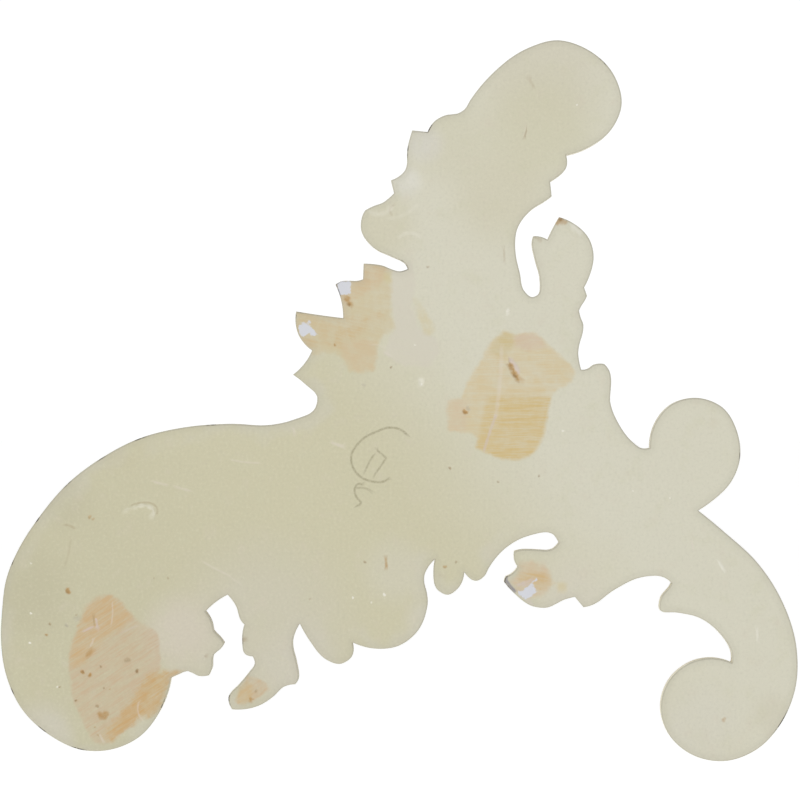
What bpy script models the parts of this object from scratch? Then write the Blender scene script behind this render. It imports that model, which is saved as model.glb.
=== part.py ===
"""Scroll onlay: one cast piece with a flat back and a carved front.

The back lies in the plane Y = 0 and faces +Y. The carved front faces -Y and +Z is up.
The outline and the carving are drawn as the back is looked at: u runs to the looker's right
and v runs up, both in millimetres from the fixing point. The looker's right is -X.
"""

import math

import bmesh
import bpy
import numpy as np
from mathutils import Vector
from mathutils.geometry import delaunay_2d_cdt

# Driving sizes, in metres
ONLAY_WIDTH = 0.3000
ONLAY_HEIGHT = 0.2714
RELIEF_DEPTH = 0.0180
EDGE_THICKNESS = 0.0045
CREST_ROUNDING = 0.0045
GROUND_DEPTH = 0.0063
MM_PER_METRE = 1000.0

# How finely the faceted solid follows the drawing, in drawn millimetres and degrees
TURN_PER_CHORD = 15.0
LONGEST_CHORD = 4.0
CREST_TURN = 25.0
CREST_SPACING = 3.4
FLANK_STEPS = 24
FLANK_SHARE = 0.62
FIELD_SPACING = 4.6
ROOM_SHARE = 0.30
RIDGE_ROOMS = (1.4, 2.1)
FIELD_ROOM = 3.0
EDGE_ROWS = (1.8, 4.4)

# The outline, walked clockwise as the back is looked at. Each feature is a row of curves.
# A curve starts at the corner where the one before it ends and passes smoothly through
# its knots (u, v), of which the last one is its own corner.
START_CORNER = (21.3, 134.5)
TOP_VOLUTE = (
    ((30.9, 147.1), (44.4, 157.2), (56.6, 160.5), (66.3, 157.7), (77.2, 148.0), (80.4, 136.0),
     (76.3, 126.6), (67.6, 120.0), (59.5, 117.3)),
)
TOP_ARM_RIGHT = (
    ((59.5, 112.4), (56.3, 109.1), (53.5, 107.3)),
    ((54.1, 101.8),),
    ((51.0, 99.6), (47.2, 97.3), (41.0, 89.1), (40.4, 81.6), (42.3, 72.0), (43.4, 66.8),
     (46.9, 63.9), (49.2, 65.1), (49.8, 69.2), (47.5, 79.5), (46.7, 84.3), (47.2, 86.8)),
)
SIDE_LEAF = (
    ((48.7, 86.8), (52.5, 85.5)),
    ((54.4, 89.5), (56.9, 94.0)),
    ((62.5, 91.5), (68.1, 86.0), (69.9, 78.8), (68.6, 72.6), (66.3, 67.5)),
    ((67.4, 64.4),),
    ((66.6, 62.6), (64.4, 58.8), (66.0, 53.6), (64.1, 42.9), (65.2, 36.6)),
    ((67.8, 37.0), (70.0, 38.5), (73.9, 38.7)),
)
RIGHT_SHOULDER = (
    ((75.9, 36.0), (76.5, 32.0), (76.1, 24.8), (79.4, 16.1), (85.0, 9.0),
     (87.8, 7.1), (91.1, 7.2)),
)
RIGHT_VOLUTE = (
    ((92.3, 14.6), (98.5, 23.1), (108.5, 26.0), (118.5, 22.3), (124.2, 12.3), (124.9, 2.6),
     (121.4, -6.0), (114.8, -12.6), (109.3, -16.4)),
)
LOWER_SCROLL = (
    ((119.6, -24.9), (130.9, -35.3), (140.8, -50.4), (146.2, -67.5), (145.9, -82.9),
     (140.9, -95.7), (131.4, -106.2), (119.9, -110.6), (107.4, -108.5), (98.3, -100.8),
     (95.2, -90.1), (98.6, -79.9), (107.3, -73.2), (115.5, -72.0), (122.0, -73.7)),
    ((121.9, -70.1), (117.3, -62.5), (109.5, -56.7), (101.2, -54.8), (95.0, -54.0),
     (95.5, -48.8), (98.4, -45.3), (99.3, -43.7)),
)
UNDER_LEAF = (
    ((96.4, -41.6), (88.6, -41.4), (77.3, -46.5), (69.3, -52.0), (66.1, -52.8)),
    ((62.8, -48.9),),
    ((58.5, -50.1), (52.6, -52.9), (46.3, -52.2), (40.8, -48.3), (36.2, -43.3)),
    ((36.9, -41.2), (39.7, -39.6), (41.3, -37.6)),
    ((39.9, -34.2), (40.1, -31.7)),
    ((42.5, -31.1), (47.8, -31.1), (54.5, -30.8), (56.8, -28.5)),
    ((54.6, -25.4), (45.5, -25.9), (37.2, -30.2), (30.4, -38.1),
     (29.0, -40.8), (26.1, -42.8), (21.2, -39.6)),
)
LOWER_LOBES = (
    ((19.0, -45.5), (15.0, -48.1), (10.9, -46.0), (9.6, -39.0), (10.2, -34.7)),
    ((6.2, -40.8), (7.5, -50.4), (3.7, -61.7), (-4.0, -67.5), (-11.9, -68.4), (-20.9, -66.0)),
    ((-21.0, -71.1), (-25.4, -74.1), (-31.5, -72.0), (-36.3, -66.4), (-40.7, -59.0)),
)
TOE_LEAF = (
    ((-43.3, -65.4), (-41.5, -75.5), (-41.2, -79.9), (-42.5, -81.8)),
    ((-47.0, -82.9), (-50.0, -85.8), (-55.2, -89.4), (-66.2, -91.2)),
    ((-67.4, -86.0), (-64.5, -82.8), (-59.5, -76.9), (-57.7, -74.1), (-58.5, -71.3)),
    ((-61.3, -70.4), (-62.4, -65.6), (-61.6, -59.3)),
    ((-63.2, -57.2), (-64.5, -52.9), (-67.9, -48.1)),
)
LEFT_LEAF = (
    ((-72.0, -50.6), (-76.2, -54.4)),
    ((-73.5, -59.5), (-73.2, -61.4), (-71.0, -63.8), (-69.1, -66.3)),
    ((-70.3, -68.2), (-73.3, -70.9), (-73.6, -75.2), (-74.9, -78.4)),
    ((-78.9, -78.6), (-82.9, -76.8), (-86.0, -77.9), (-89.1, -79.3)),
)
LEFT_SCROLL = (
    ((-92.6, -90.4), (-100.9, -101.4), (-112.1, -106.4), (-123.0, -106.4), (-134.9, -100.9),
     (-145.2, -91.3), (-151.2, -78.6), (-153.2, -66.0), (-152.8, -54.0), (-151.2, -42.1),
     (-147.0, -31.7), (-139.1, -19.2), (-127.6, -5.8), (-115.3, 3.4), (-100.9, 10.8),
     (-84.1, 14.9), (-66.9, 16.2), (-51.9, 15.8), (-42.4, 18.0), (-35.1, 21.9),
     (-34.2, 26.4), (-38.2, 30.7), (-43.3, 34.7)),
)
UPPER_LEAF = (
    ((-38.6, 39.4), (-36.1, 43.8)),
    ((-41.0, 49.3), (-42.1, 58.5)),
    ((-32.3, 57.0), (-24.4, 56.0)),
    ((-24.9, 61.5), (-27.3, 68.6)),
    ((-25.3, 69.8), (-19.3, 70.0), (-16.9, 70.6)),
    ((-16.7, 76.5),),
    ((-9.4, 75.7), (-3.0, 73.6), (-0.1, 74.5)),
)
TOP_ARM_LEFT = (
    ((-1.1, 76.5), (-5.1, 78.7), (-12.9, 82.5), (-17.6, 89.0), (-16.0, 96.6), (-9.5, 99.4),
     (-5.2, 103.0)),
    ((-6.4, 107.8),),
    ((-1.1, 111.6), (-0.2, 119.8), (1.6, 126.6)),
    ((7.4, 126.0),),
    ((10.2, 130.2), (14.5, 132.4), (18.8, 133.0), START_CORNER),
)
OUTLINE = (TOP_VOLUTE, TOP_ARM_RIGHT, SIDE_LEAF, RIGHT_SHOULDER, RIGHT_VOLUTE, LOWER_SCROLL,
           UNDER_LEAF, LOWER_LOBES, TOE_LEAF, LEFT_LEAF, LEFT_SCROLL, UPPER_LEAF, TOP_ARM_LEFT)

# The scrolls: the knots of the stem that leads in, then the spiral that it winds into.
# A spiral has its eye, first and last radius, first angle and turn, in degrees. It keeps its
# radius at first and tightens towards its eye, by the power SPIRAL_HASTE of the turn made.
SCROLLS = {
    "top": {
        "stem": ((27.0, 16.0), (17.0, 45.0), (9.0, 78.0), (12.0, 106.0), (26.0, 131.0)),
        "eye": (56.8, 137.0), "radii": (19.0, 5.0), "start": 148.0, "turn": -640.0,
        "half_widths": (8.0, 3.4), "heights": (0.80, 1.00)},
    "left": {
        "stem": ((22.0, 6.0), (-6.0, 11.0), (-32.0, 11.0), (-58.0, 8.5), (-84.0, 7.5),
                 (-112.0, -3.5), (-133.0, -23.5), (-144.5, -46.0)),
        "eye": (-119.5, -74.0), "radii": (27.0, 6.0), "start": 160.0, "turn": 680.0,
        "half_widths": (8.5, 3.8), "heights": (0.76, 0.98)},
    "lower": {
        "stem": ((52.0, -6.0), (72.0, -11.0), (92.0, -18.0), (113.0, -30.0), (130.5, -46.0),
                 (139.0, -66.0)),
        "eye": (119.8, -88.5), "radii": (20.0, 5.0), "start": 6.0, "turn": -640.0,
        "half_widths": (7.4, 3.2), "heights": (0.76, 0.96)},
    "right": {
        "stem": ((54.0, 4.0), (76.0, -1.5), (97.0, -9.0)),
        "eye": (107.6, 5.6), "radii": (15.0, 4.5), "start": -58.0, "turn": 590.0,
        "half_widths": (5.3, 3.0), "heights": (0.66, 0.88)},
}
SPIRAL_STEP = 30.0
SPIRAL_HASTE = 1.35
EYE_SHARE = 1.35

# The fronds of the leaves: root, middle and tip (u, v), half width and height share.
FRONDS = (
    # upper left leaf
    ((14.0, 14.0), (-16.0, 28.0), (-41.5, 34.5), 9.0, 0.60),
    ((15.0, 20.0), (-14.0, 42.0), (-40.0, 55.5), 9.5, 0.70),
    ((17.0, 28.0), (-6.0, 52.0), (-25.5, 67.0), 8.5, 0.66),
    ((17.0, 38.0), (2.0, 60.0), (-14.5, 74.0), 8.0, 0.62),
    # left flank of the top arm
    ((14.0, 56.0), (2.0, 76.0), (-14.5, 89.0), 9.0, 0.62),
    ((12.0, 76.0), (4.0, 94.0), (-4.5, 106.0), 8.0, 0.60),
    ((16.0, 96.0), (10.0, 112.0), (4.0, 124.0), 8.0, 0.56),
    # right flank of the top arm
    ((31.0, 20.0), (31.0, 52.0), (37.0, 84.0), 9.5, 0.70),
    ((16.0, 58.0), (22.0, 76.0), (36.0, 90.0), 7.5, 0.60),
    ((12.0, 72.0), (26.0, 94.0), (52.5, 104.5), 8.5, 0.62),
    ((14.0, 90.0), (28.0, 108.0), (56.0, 115.0), 8.0, 0.56),
    # side leaf
    ((40.0, 14.0), (56.0, 54.0), (57.0, 91.0), 9.0, 0.70),
    ((44.0, 14.0), (62.0, 46.0), (66.0, 79.0), 8.0, 0.62),
    ((48.0, 12.0), (60.0, 27.0), (73.0, 36.5), 8.0, 0.60),
    ((50.0, 9.0), (68.0, 13.0), (87.0, 4.5), 8.0, 0.56),
    # lobes under the middle
    ((26.0, -10.0), (24.0, -24.0), (25.5, -40.0), 7.0, 0.58),
    ((18.0, -6.0), (15.0, -26.0), (15.0, -45.0), 7.5, 0.60),
    ((6.0, -6.0), (-1.0, -36.0), (-5.0, -65.0), 11.0, 0.70),
    ((-8.0, -8.0), (-19.0, -40.0), (-27.0, -71.5), 10.5, 0.66),
    # toe leaf and left leaf
    ((-22.0, -9.0), (-43.0, -46.0), (-62.0, -88.5), 10.5, 0.72),
    ((-38.0, -10.0), (-54.0, -40.0), (-61.5, -66.0), 8.5, 0.60),
    ((-50.0, -12.0), (-66.0, -40.0), (-72.0, -66.0), 9.0, 0.66),
    ((-62.0, -14.0), (-77.0, -44.0), (-77.0, -76.0), 8.5, 0.62),
    ((-73.0, -15.0), (-88.0, -42.0), (-88.0, -77.0), 8.5, 0.60),
    ((-84.0, -16.0), (-100.0, -36.0), (-102.0, -56.0), 8.0, 0.56),
    ((-94.0, -20.0), (-111.0, -34.0), (-118.0, -47.0), 7.0, 0.52),
    # under leaf and the spur inside the lower scroll
    ((102.0, -32.0), (72.0, -32.0), (41.0, -34.5), 7.5, 0.62),
    ((108.0, -37.0), (76.0, -39.0), (37.5, -43.5), 8.5, 0.66),
    ((104.0, -40.0), (78.0, -44.0), (53.0, -52.0), 8.0, 0.58),
    ((70.0, -16.0), (62.0, -22.0), (43.0, -28.5), 7.5, 0.54),
    ((122.0, -54.0), (110.0, -50.0), (96.0, -50.5), 7.0, 0.56),
)

# Shares of a frond's half width and height at its root and tip, and how far each swells
# between them.
FROND_WIDTHS = (0.62, 0.50)
FROND_HEIGHTS = (0.80, 0.60)
FROND_SWELL = (0.80, 0.45)

# The second rim of the long left scroll: its knots, half widths and height share.
INNER_RIM = ((12.0, 0.0), (-36.0, -4.0), (-74.0, -6.0), (-104.0, -20.0), (-121.0, -42.0))
RIM_HALF_WIDTHS = (5.8, 4.0)
RIM_HEIGHT = 0.62

# The rosette in the middle, where the three arms meet.
ROSETTE_CENTRE = (36.0, 4.0)
ROSETTE_PETALS = 6
PETAL_REACH = (4.5, 11.0, 18.0)
PETAL_HALF_WIDTH = 6.6
PETAL_HEIGHT = 0.88
BUTTON_RADIUS = 6.5

# A ridge is a power of a parabola across its width, and a lower power makes it fuller.
SCROLL_POWER = 0.75
FROND_POWER = 0.65
BUTTON_POWER = 0.60

# Length given to a round button's crest, so that it is still a line, and how near to a row
# of the edge a point may lie.
BUTTON_CREST = 0.01
ROW_SLACK = 0.98
MERGE_LIMIT = 1e-6


def smooth_through(knots, turn=TURN_PER_CHORD, longest=LONGEST_CHORD):
    """Points of a smooth curve through the knots, closer together where it turns."""
    knots = np.asarray(knots, dtype=float)
    chords = np.linalg.norm(np.diff(knots, axis=0), axis=1)
    slopes = np.diff(knots, axis=0) / chords[:, None]
    if len(knots) == 2:
        headings = np.vstack([slopes, slopes])
    else:
        before, after = chords[:-1, None], chords[1:, None]
        inner = (slopes[:-1] * after + slopes[1:] * before) / (before + after)
        headings = np.vstack([2 * slopes[0] - inner[0], inner, 2 * slopes[-1] - inner[-1]])
    points = [knots[:1]]
    for index, chord in enumerate(chords):
        first, last = headings[index], headings[index + 1]
        cosine = first @ last / (np.linalg.norm(first) * np.linalg.norm(last))
        bend = math.degrees(math.acos(max(-1.0, min(1.0, cosine))))
        steps = max(1, math.ceil(bend / turn), math.ceil(chord / longest))
        t = np.arange(1, steps + 1)[:, None] / steps
        points.append((2 * t**3 - 3 * t**2 + 1) * knots[index]
                      + (t**3 - 2 * t**2 + t) * chord * first
                      + (3 * t**2 - 2 * t**3) * knots[index + 1]
                      + (t**3 - t**2) * chord * last)
    return np.vstack(points)


def outline_points():
    """The whole outline as one ring of points, without a repeated first point."""
    corner = START_CORNER
    ring = []
    for feature in OUTLINE:
        for knots in feature:
            ring.append(smooth_through((corner,) + knots)[1:])
            corner = knots[-1]
    return np.vstack(ring)


def ridge(line, half_widths, heights, power, swell=(0.0, 0.0)):
    """One ridge of the carving: its crest, and its section at both ends of the crest."""
    return {"line": line, "half_widths": half_widths, "heights": heights, "power": power,
            "swell": swell}


def button(centre, radius):
    """A round button of the full height."""
    crest = np.array([centre, (centre[0], centre[1] + BUTTON_CREST)])
    return ridge(crest, (radius, radius), (1.0, 1.0), BUTTON_POWER)


def scroll(stem, eye, radii, start, turn, half_widths, heights):
    """A stem that winds into a spiral, and the button in its eye."""
    turns = np.linspace(0.0, 1.0, math.ceil(abs(turn) / SPIRAL_STEP) + 1)
    angles = np.radians(start + turn * turns)
    reach = radii[0] * (radii[1] / radii[0]) ** (turns**SPIRAL_HASTE)
    spiral = np.stack([eye[0] + reach * np.cos(angles), eye[1] + reach * np.sin(angles)], axis=1)
    crest = smooth_through(np.vstack([stem, spiral]), CREST_TURN, CREST_SPACING)
    return [button(eye, radii[1] * EYE_SHARE), ridge(crest, half_widths, heights, SCROLL_POWER)]


def frond(root, middle, tip, half_width, height):
    """One finger of a leaf, widest and highest between its root and its tip."""
    return ridge(smooth_through((root, middle, tip), CREST_TURN, CREST_SPACING),
                 (half_width * FROND_WIDTHS[0], half_width * FROND_WIDTHS[1]),
                 (height * FROND_HEIGHTS[0], height * FROND_HEIGHTS[1]), FROND_POWER, FROND_SWELL)


def rosette():
    """The button in the middle and the petals that stand round it."""
    ridges = [button(ROSETTE_CENTRE, BUTTON_RADIUS)]
    for petal in range(ROSETTE_PETALS):
        angle = 2.0 * math.pi * (petal + 0.5) / ROSETTE_PETALS
        places = [(ROSETTE_CENTRE[0] + reach * math.cos(angle),
                   ROSETTE_CENTRE[1] + reach * math.sin(angle)) for reach in PETAL_REACH]
        ridges.append(frond(*places, PETAL_HALF_WIDTH, PETAL_HEIGHT))
    return ridges


def carving_ridges():
    """Every ridge of the carving."""
    ridges = rosette()
    for sizes in SCROLLS.values():
        ridges += scroll(**sizes)
    ridges += [frond(*sizes) for sizes in FRONDS]
    rim = smooth_through(INNER_RIM, CREST_TURN, CREST_SPACING)
    return ridges + [ridge(rim, RIM_HALF_WIDTHS, (RIM_HEIGHT, RIM_HEIGHT), SCROLL_POWER)]


def nearest_on_line(points, line):
    """Distance of each point from a line of chords, and its share of the way along."""
    starts, runs = line[:-1], np.diff(line, axis=0)
    lengths = np.linalg.norm(runs, axis=1)
    along = np.concatenate([[0.0], np.cumsum(lengths)])
    gap = points[:, None, :] - starts[None, :, :]
    t = np.clip((gap * runs).sum(axis=2) / (lengths**2), 0.0, 1.0)
    distance = np.linalg.norm(gap - t[..., None] * runs, axis=2)
    nearest = distance.argmin(axis=1)
    rows = np.arange(len(points))
    share = (along[nearest] + t[rows, nearest] * lengths[nearest]) / along[-1]
    return distance[rows, nearest], share


def ridge_section(part, along):
    """Half width and height share of a ridge at each share of its length."""
    bow = np.sin(math.pi * along)
    half_width = np.interp(along, (0.0, 1.0), part["half_widths"]) * (1.0 + part["swell"][0] * bow)
    height = np.interp(along, (0.0, 1.0), part["heights"]) * (1.0 + part["swell"][1] * bow)
    return half_width, height


def highest_ridge(points, ridges):
    """The height of the carving at each point, in metres, and the number of its ridge."""
    height = np.full(len(points), GROUND_DEPTH - EDGE_THICKNESS)
    owner = np.full(len(points), len(ridges))
    for number, part in enumerate(ridges):
        distance, along = nearest_on_line(points, part["line"])
        half_width, share = ridge_section(part, along)
        profile = np.clip(1.0 - (distance / half_width) ** 2, 0.0, 1.0) ** part["power"]
        rise = (RELIEF_DEPTH - EDGE_THICKNESS) * share * profile
        owner = np.where(rise > height, number, owner)
        height = np.maximum(height, rise)
    return height, owner


def relief_heights(points, ring):
    """How far the front stands off the back at each point, in metres."""
    edge_gap, _ = nearest_on_line(points, np.vstack([ring, ring[:1]]))
    height, _ = highest_ridge(points, carving_ridges())
    inward = np.clip(edge_gap / (CREST_ROUNDING * MM_PER_METRE), 0.0, 1.0)
    return EDGE_THICKNESS + height * np.sqrt(1.0 - (1.0 - inward) ** 2)


def inside_ring(points, ring):
    """True for each point that lies inside the ring, by counting crossings."""
    u, v = points[:, 0:1], points[:, 1:2]
    u0, v0 = ring[:, 0], ring[:, 1]
    u1, v1 = np.roll(u0, -1), np.roll(v0, -1)
    spans = (v0 > v) != (v1 > v)
    rise = np.where(v1 == v0, 1.0, v1 - v0)
    crossing = u < u0 + (v - v0) * (u1 - u0) / rise
    return (spans & crossing).sum(axis=1) % 2 == 1


def across_of(line):
    """Unit vectors square to a line, to its left, one for each of its points."""
    ahead = np.gradient(line, axis=0)
    across = np.stack([-ahead[:, 1], ahead[:, 0]], axis=1)
    return across / np.linalg.norm(across, axis=1)[:, None]


def inset_row(ring, inset):
    """The outline carried inward by the inset, without the parts that would fold over."""
    ahead = np.roll(ring, -1, axis=0) - np.roll(ring, 1, axis=0)
    inward = np.stack([ahead[:, 1], -ahead[:, 0]], axis=1)
    return ring + inset * inward / np.linalg.norm(inward, axis=1)[:, None]


def ridge_rows():
    """Points in the valleys that bound each ridge, on its crest and on its flanks.

    From each point of a crest, steps go out to both sides as far as the ridge is the
    highest one. Crests that lie under another ridge are left out. The second array is how
    much room each point keeps, which is less on a narrow ridge.
    """
    ridges = carving_ridges()
    steps = np.linspace(0.0, 1.0, FLANK_STEPS)
    rows, rooms = [[], [], []], [[], [], []]
    for number, part in enumerate(ridges):
        line = part["line"]
        half_width, _ = ridge_section(part, np.linspace(0.0, 1.0, len(line)))
        room = np.clip(ROOM_SHARE * half_width, *RIDGE_ROOMS)
        for side in (-1.0, 1.0):
            reach = side * half_width[:, None, None] * steps[None, :, None]
            spots = line[:, None, :] + reach * across_of(line)[:, None, :]
            _, owner = highest_ridge(spots.reshape(-1, 2), ridges)
            own = owner.reshape(len(line), FLANK_STEPS) == number
            last = np.where(own.all(axis=1), FLANK_STEPS - 1, own.argmin(axis=1))
            shown = np.flatnonzero(own[:, 0])
            flank = (last[shown] * FLANK_SHARE).astype(int)
            for row, step in enumerate((0, last[shown], flank)):
                rows[row].append(spots[shown, step])
                rooms[row].append(room[shown])
    return np.vstack(sum(rows, [])), np.concatenate(sum(rooms, []))


def even_field(low, high):
    """Points of an even triangular grid."""
    rows = np.arange(low[1], high[1], FIELD_SPACING * math.sqrt(0.75))
    field_u, field_v = np.meshgrid(np.arange(low[0], high[0], FIELD_SPACING), rows)
    field_u = field_u + np.where(np.arange(len(rows)) % 2, FIELD_SPACING / 2, 0.0)[:, None]
    return np.stack([field_u.ravel(), field_v.ravel()], axis=1)


def front_points(ring):
    """Points inside the outline: rows along its edge and the ridges, then an even field."""
    edge = np.vstack([inset_row(ring, inset) for inset in EDGE_ROWS])
    ridge_points, ridge_room = ridge_rows()
    field = even_field(ring.min(axis=0), ring.max(axis=0))
    candidates = np.vstack([edge, ridge_points, field])
    room = np.concatenate([np.full(len(edge), RIDGE_ROOMS[1]), ridge_room,
                           np.full(len(field), FIELD_ROOM)])
    gap, _ = nearest_on_line(candidates, np.vstack([ring, ring[:1]]))
    fits = inside_ring(candidates, ring) & (gap > EDGE_ROWS[0] * ROW_SLACK)
    kept = candidates[fits][:1]
    for point, least in zip(candidates[fits], room[fits]):
        if np.hypot(*(kept - point).T).min() > least:
            kept = np.vstack([kept, point])
    return kept


def build_onlay():
    """Make the onlay as one closed mesh: carved front, short side wall, flat back."""
    ring = outline_points()
    count = len(ring)
    plane = np.vstack([ring, front_points(ring)])
    depth = np.concatenate([np.full(count, EDGE_THICKNESS), relief_heights(plane[count:], ring)])
    low, high = ring.min(axis=0), ring.max(axis=0)
    stretch = np.array([ONLAY_WIDTH, ONLAY_HEIGHT]) / (high - low)
    border = [list(range(count))]
    _, _, front, _, _, _ = delaunay_2d_cdt([Vector(p) for p in plane], [], border, 1, MERGE_LIMIT)
    _, _, back, _, _, _ = delaunay_2d_cdt([Vector(p) for p in ring], [], border, 1, MERGE_LIMIT)

    shell = bmesh.new()
    front_verts = [shell.verts.new((-u * stretch[0], -y, v * stretch[1]))
                   for (u, v), y in zip(plane, depth)]
    back_verts = [shell.verts.new((-u * stretch[0], 0.0, v * stretch[1])) for u, v in ring]
    for face in front:
        shell.faces.new([front_verts[i] for i in face])
    for face in back:
        shell.faces.new([back_verts[i] for i in face])
    for i in range(count):
        j = (i + 1) % count
        shell.faces.new((front_verts[i], front_verts[j], back_verts[j], back_verts[i]))
    bmesh.ops.recalc_face_normals(shell, faces=shell.faces)
    mesh = bpy.data.meshes.new("scroll_onlay")
    shell.to_mesh(mesh)
    shell.free()
    onlay = bpy.data.objects.new("scroll_onlay", mesh)
    bpy.context.scene.collection.objects.link(onlay)
    return onlay


def cast_finish():
    """The cream colour of the casting."""
    finish = bpy.data.materials.new("cream_casting")
    finish.use_nodes = True
    shader = finish.node_tree.nodes["Principled BSDF"]
    shader.inputs["Base Color"].default_value = (0.62, 0.58, 0.42, 1.0)
    shader.inputs["Roughness"].default_value = 0.55
    return finish


for leftover in list(bpy.data.objects):
    bpy.data.objects.remove(leftover)
build_onlay().data.materials.append(cast_finish())
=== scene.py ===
"""The looks of a scroll onlay: one cast piece with a stained flat back and a carved front.

Everything is worked out in the plane of the back, in millimetres: u runs to the right and v
runs up as the back is looked at, so the row's X is minus u, its Z is v, and the back faces +Y.
"""

import logging
import math
from dataclasses import dataclass, field
from enum import Enum
from typing import Optional, Sequence, Union

import bpy
import numpy as np
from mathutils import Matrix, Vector
from mathutils.geometry import delaunay_2d_cdt


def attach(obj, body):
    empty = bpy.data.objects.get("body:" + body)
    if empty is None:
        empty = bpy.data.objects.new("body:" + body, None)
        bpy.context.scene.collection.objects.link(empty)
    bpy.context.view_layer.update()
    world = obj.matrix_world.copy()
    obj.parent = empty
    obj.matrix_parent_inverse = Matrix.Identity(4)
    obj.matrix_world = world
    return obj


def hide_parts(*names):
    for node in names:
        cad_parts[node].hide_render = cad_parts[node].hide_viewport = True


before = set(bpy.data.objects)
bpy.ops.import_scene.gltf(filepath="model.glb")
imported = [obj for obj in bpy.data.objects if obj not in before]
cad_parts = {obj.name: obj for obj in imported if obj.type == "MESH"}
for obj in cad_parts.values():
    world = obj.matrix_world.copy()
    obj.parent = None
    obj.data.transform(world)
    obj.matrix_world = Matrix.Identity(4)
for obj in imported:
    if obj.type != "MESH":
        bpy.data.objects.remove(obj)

LOG = logging.getLogger("scroll_onlay")
MM = 0.001
# How many points are measured at once, and how many square cells a row of cells may have.
BLOCK = 1500
CELL_STRIDE = 100000
# Where the colour of a mark starts to fade and where it ends, as shares of its half width.
LINE_FADE = (0.5, 1.4)
PIT_FADE = (0.55, 1.2)
FLECK_FADE = (0.3, 1.0)
# Half width of a line's bowl as a share of its own, and the pace of its lumps per mm.
LINE_BOWL = 1.4
LUMP_PACE = 1.9
# Shares of a pit's radius that its two and its three lobes add.
PIT_LOBES = (0.20, 0.12)

Point = tuple[float, float]
Tone = tuple[float, float, float]
Socket = bpy.types.NodeSocket


def tone(red: int, green: int, blue: int) -> Tone:
    """A colour seen on screen, from 0 to 255 a channel, as the linear light it stands for."""
    shown = np.array([red, green, blue]) / 255.0
    linear = np.where(shown <= 0.04045, shown / 12.92, ((shown + 0.055) / 1.055) ** 2.4)
    return tuple(float(part) for part in linear)


def smooth_through(knots: Sequence[Point], spacing: float) -> np.ndarray:
    """Carry a smooth curve through the knots.

    Between two knots the curve is the cubic that meets both with the heading of the parabola
    through each knot and its neighbours.

    Args:
        knots: Points (u, v) in mm, two or more.
        spacing: Longest step along a chord, in mm.

    Returns:
        Points of the curve, one row each.
    """
    knots = np.asarray(knots, dtype=float)
    chords = np.linalg.norm(np.diff(knots, axis=0), axis=1)
    slopes = np.diff(knots, axis=0) / chords[:, None]
    if len(knots) == 2:
        headings = np.vstack([slopes, slopes])
    else:
        before, after = chords[:-1, None], chords[1:, None]
        inner = (slopes[:-1] * after + slopes[1:] * before) / (before + after)
        headings = np.vstack([2 * slopes[0] - inner[0], inner, 2 * slopes[-1] - inner[-1]])
    steps = np.maximum(1, np.ceil(chords / spacing)).astype(int)
    chord = np.repeat(np.arange(len(chords)), steps)
    first = np.cumsum(steps) - steps
    t = ((np.arange(len(chord)) - first[chord] + 1) / steps[chord])[:, None]
    length = chords[chord][:, None]
    curve = ((2 * t**3 - 3 * t**2 + 1) * knots[chord]
             + (t**3 - 2 * t**2 + t) * length * headings[chord]
             + (3 * t**2 - 2 * t**3) * knots[chord + 1]
             + (t**3 - t**2) * length * headings[chord + 1])
    return np.vstack([knots[:1], curve])


def nearest_on_line(points: np.ndarray, line: np.ndarray) -> tuple[np.ndarray, np.ndarray]:
    """Measure how far points lie from a line of chords.

    Each point is dropped square onto every chord, and the nearest foot counts.

    Args:
        points: Points (u, v) in mm.
        line: The line's points in order.

    Returns:
        The distance of each point in mm, and how far along the line its foot is in mm.
    """
    starts, runs = line[:-1], np.diff(line, axis=0)
    lengths = np.maximum(np.linalg.norm(runs, axis=1), 1e-9)
    along = np.concatenate([[0.0], np.cumsum(lengths)])
    distance, travel = np.empty(len(points)), np.empty(len(points))
    for low in range(0, len(points), BLOCK):
        block = points[low:low + BLOCK]
        reach = block[:, None, :] - starts[None, :, :]
        t = np.clip((reach * runs).sum(axis=2) / lengths**2, 0.0, 1.0)
        square = ((reach - t[..., None] * runs) ** 2).sum(axis=2)
        best = square.argmin(axis=1)
        rows = np.arange(len(block))
        distance[low:low + BLOCK] = np.sqrt(square[rows, best])
        travel[low:low + BLOCK] = along[best] + t[rows, best] * lengths[best]
    return distance, travel


def inside_ring(points: np.ndarray, ring: np.ndarray) -> np.ndarray:
    """Tell which points a ring holds, by counting the chords that lie to their right.

    Args:
        points: Points (u, v) in mm.
        ring: The ring's points in order, the first not repeated.

    Returns:
        One truth value for each point.
    """
    u0, v0 = ring[:, 0], ring[:, 1]
    u1, v1 = np.roll(u0, -1), np.roll(v0, -1)
    rise = np.where(v1 == v0, 1.0, v1 - v0)
    held = np.empty(len(points), dtype=bool)
    for low in range(0, len(points), BLOCK):
        u, v = points[low:low + BLOCK, 0:1], points[low:low + BLOCK, 1:2]
        crossed = ((v0 > v) != (v1 > v)) & (u < u0 + (v - v0) * (u1 - u0) / rise)
        held[low:low + BLOCK] = crossed.sum(axis=1) % 2 == 1
    return held


def depth_inside(points: np.ndarray, ring: np.ndarray) -> np.ndarray:
    """Signed distance from a ring in mm: above zero inside it, below zero outside."""
    distance, _ = nearest_on_line(points, np.vstack([ring, ring[:1]]))
    return np.where(inside_ring(points, ring), distance, -distance)


def ease(value: np.ndarray, low: float, high: float) -> np.ndarray:
    """Zero below low, one above high, and the cubic 3t^2 - 2t^3 between them."""
    t = np.clip((value - low) / (high - low), 0.0, 1.0)
    return t * t * (3.0 - 2.0 * t)


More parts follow.
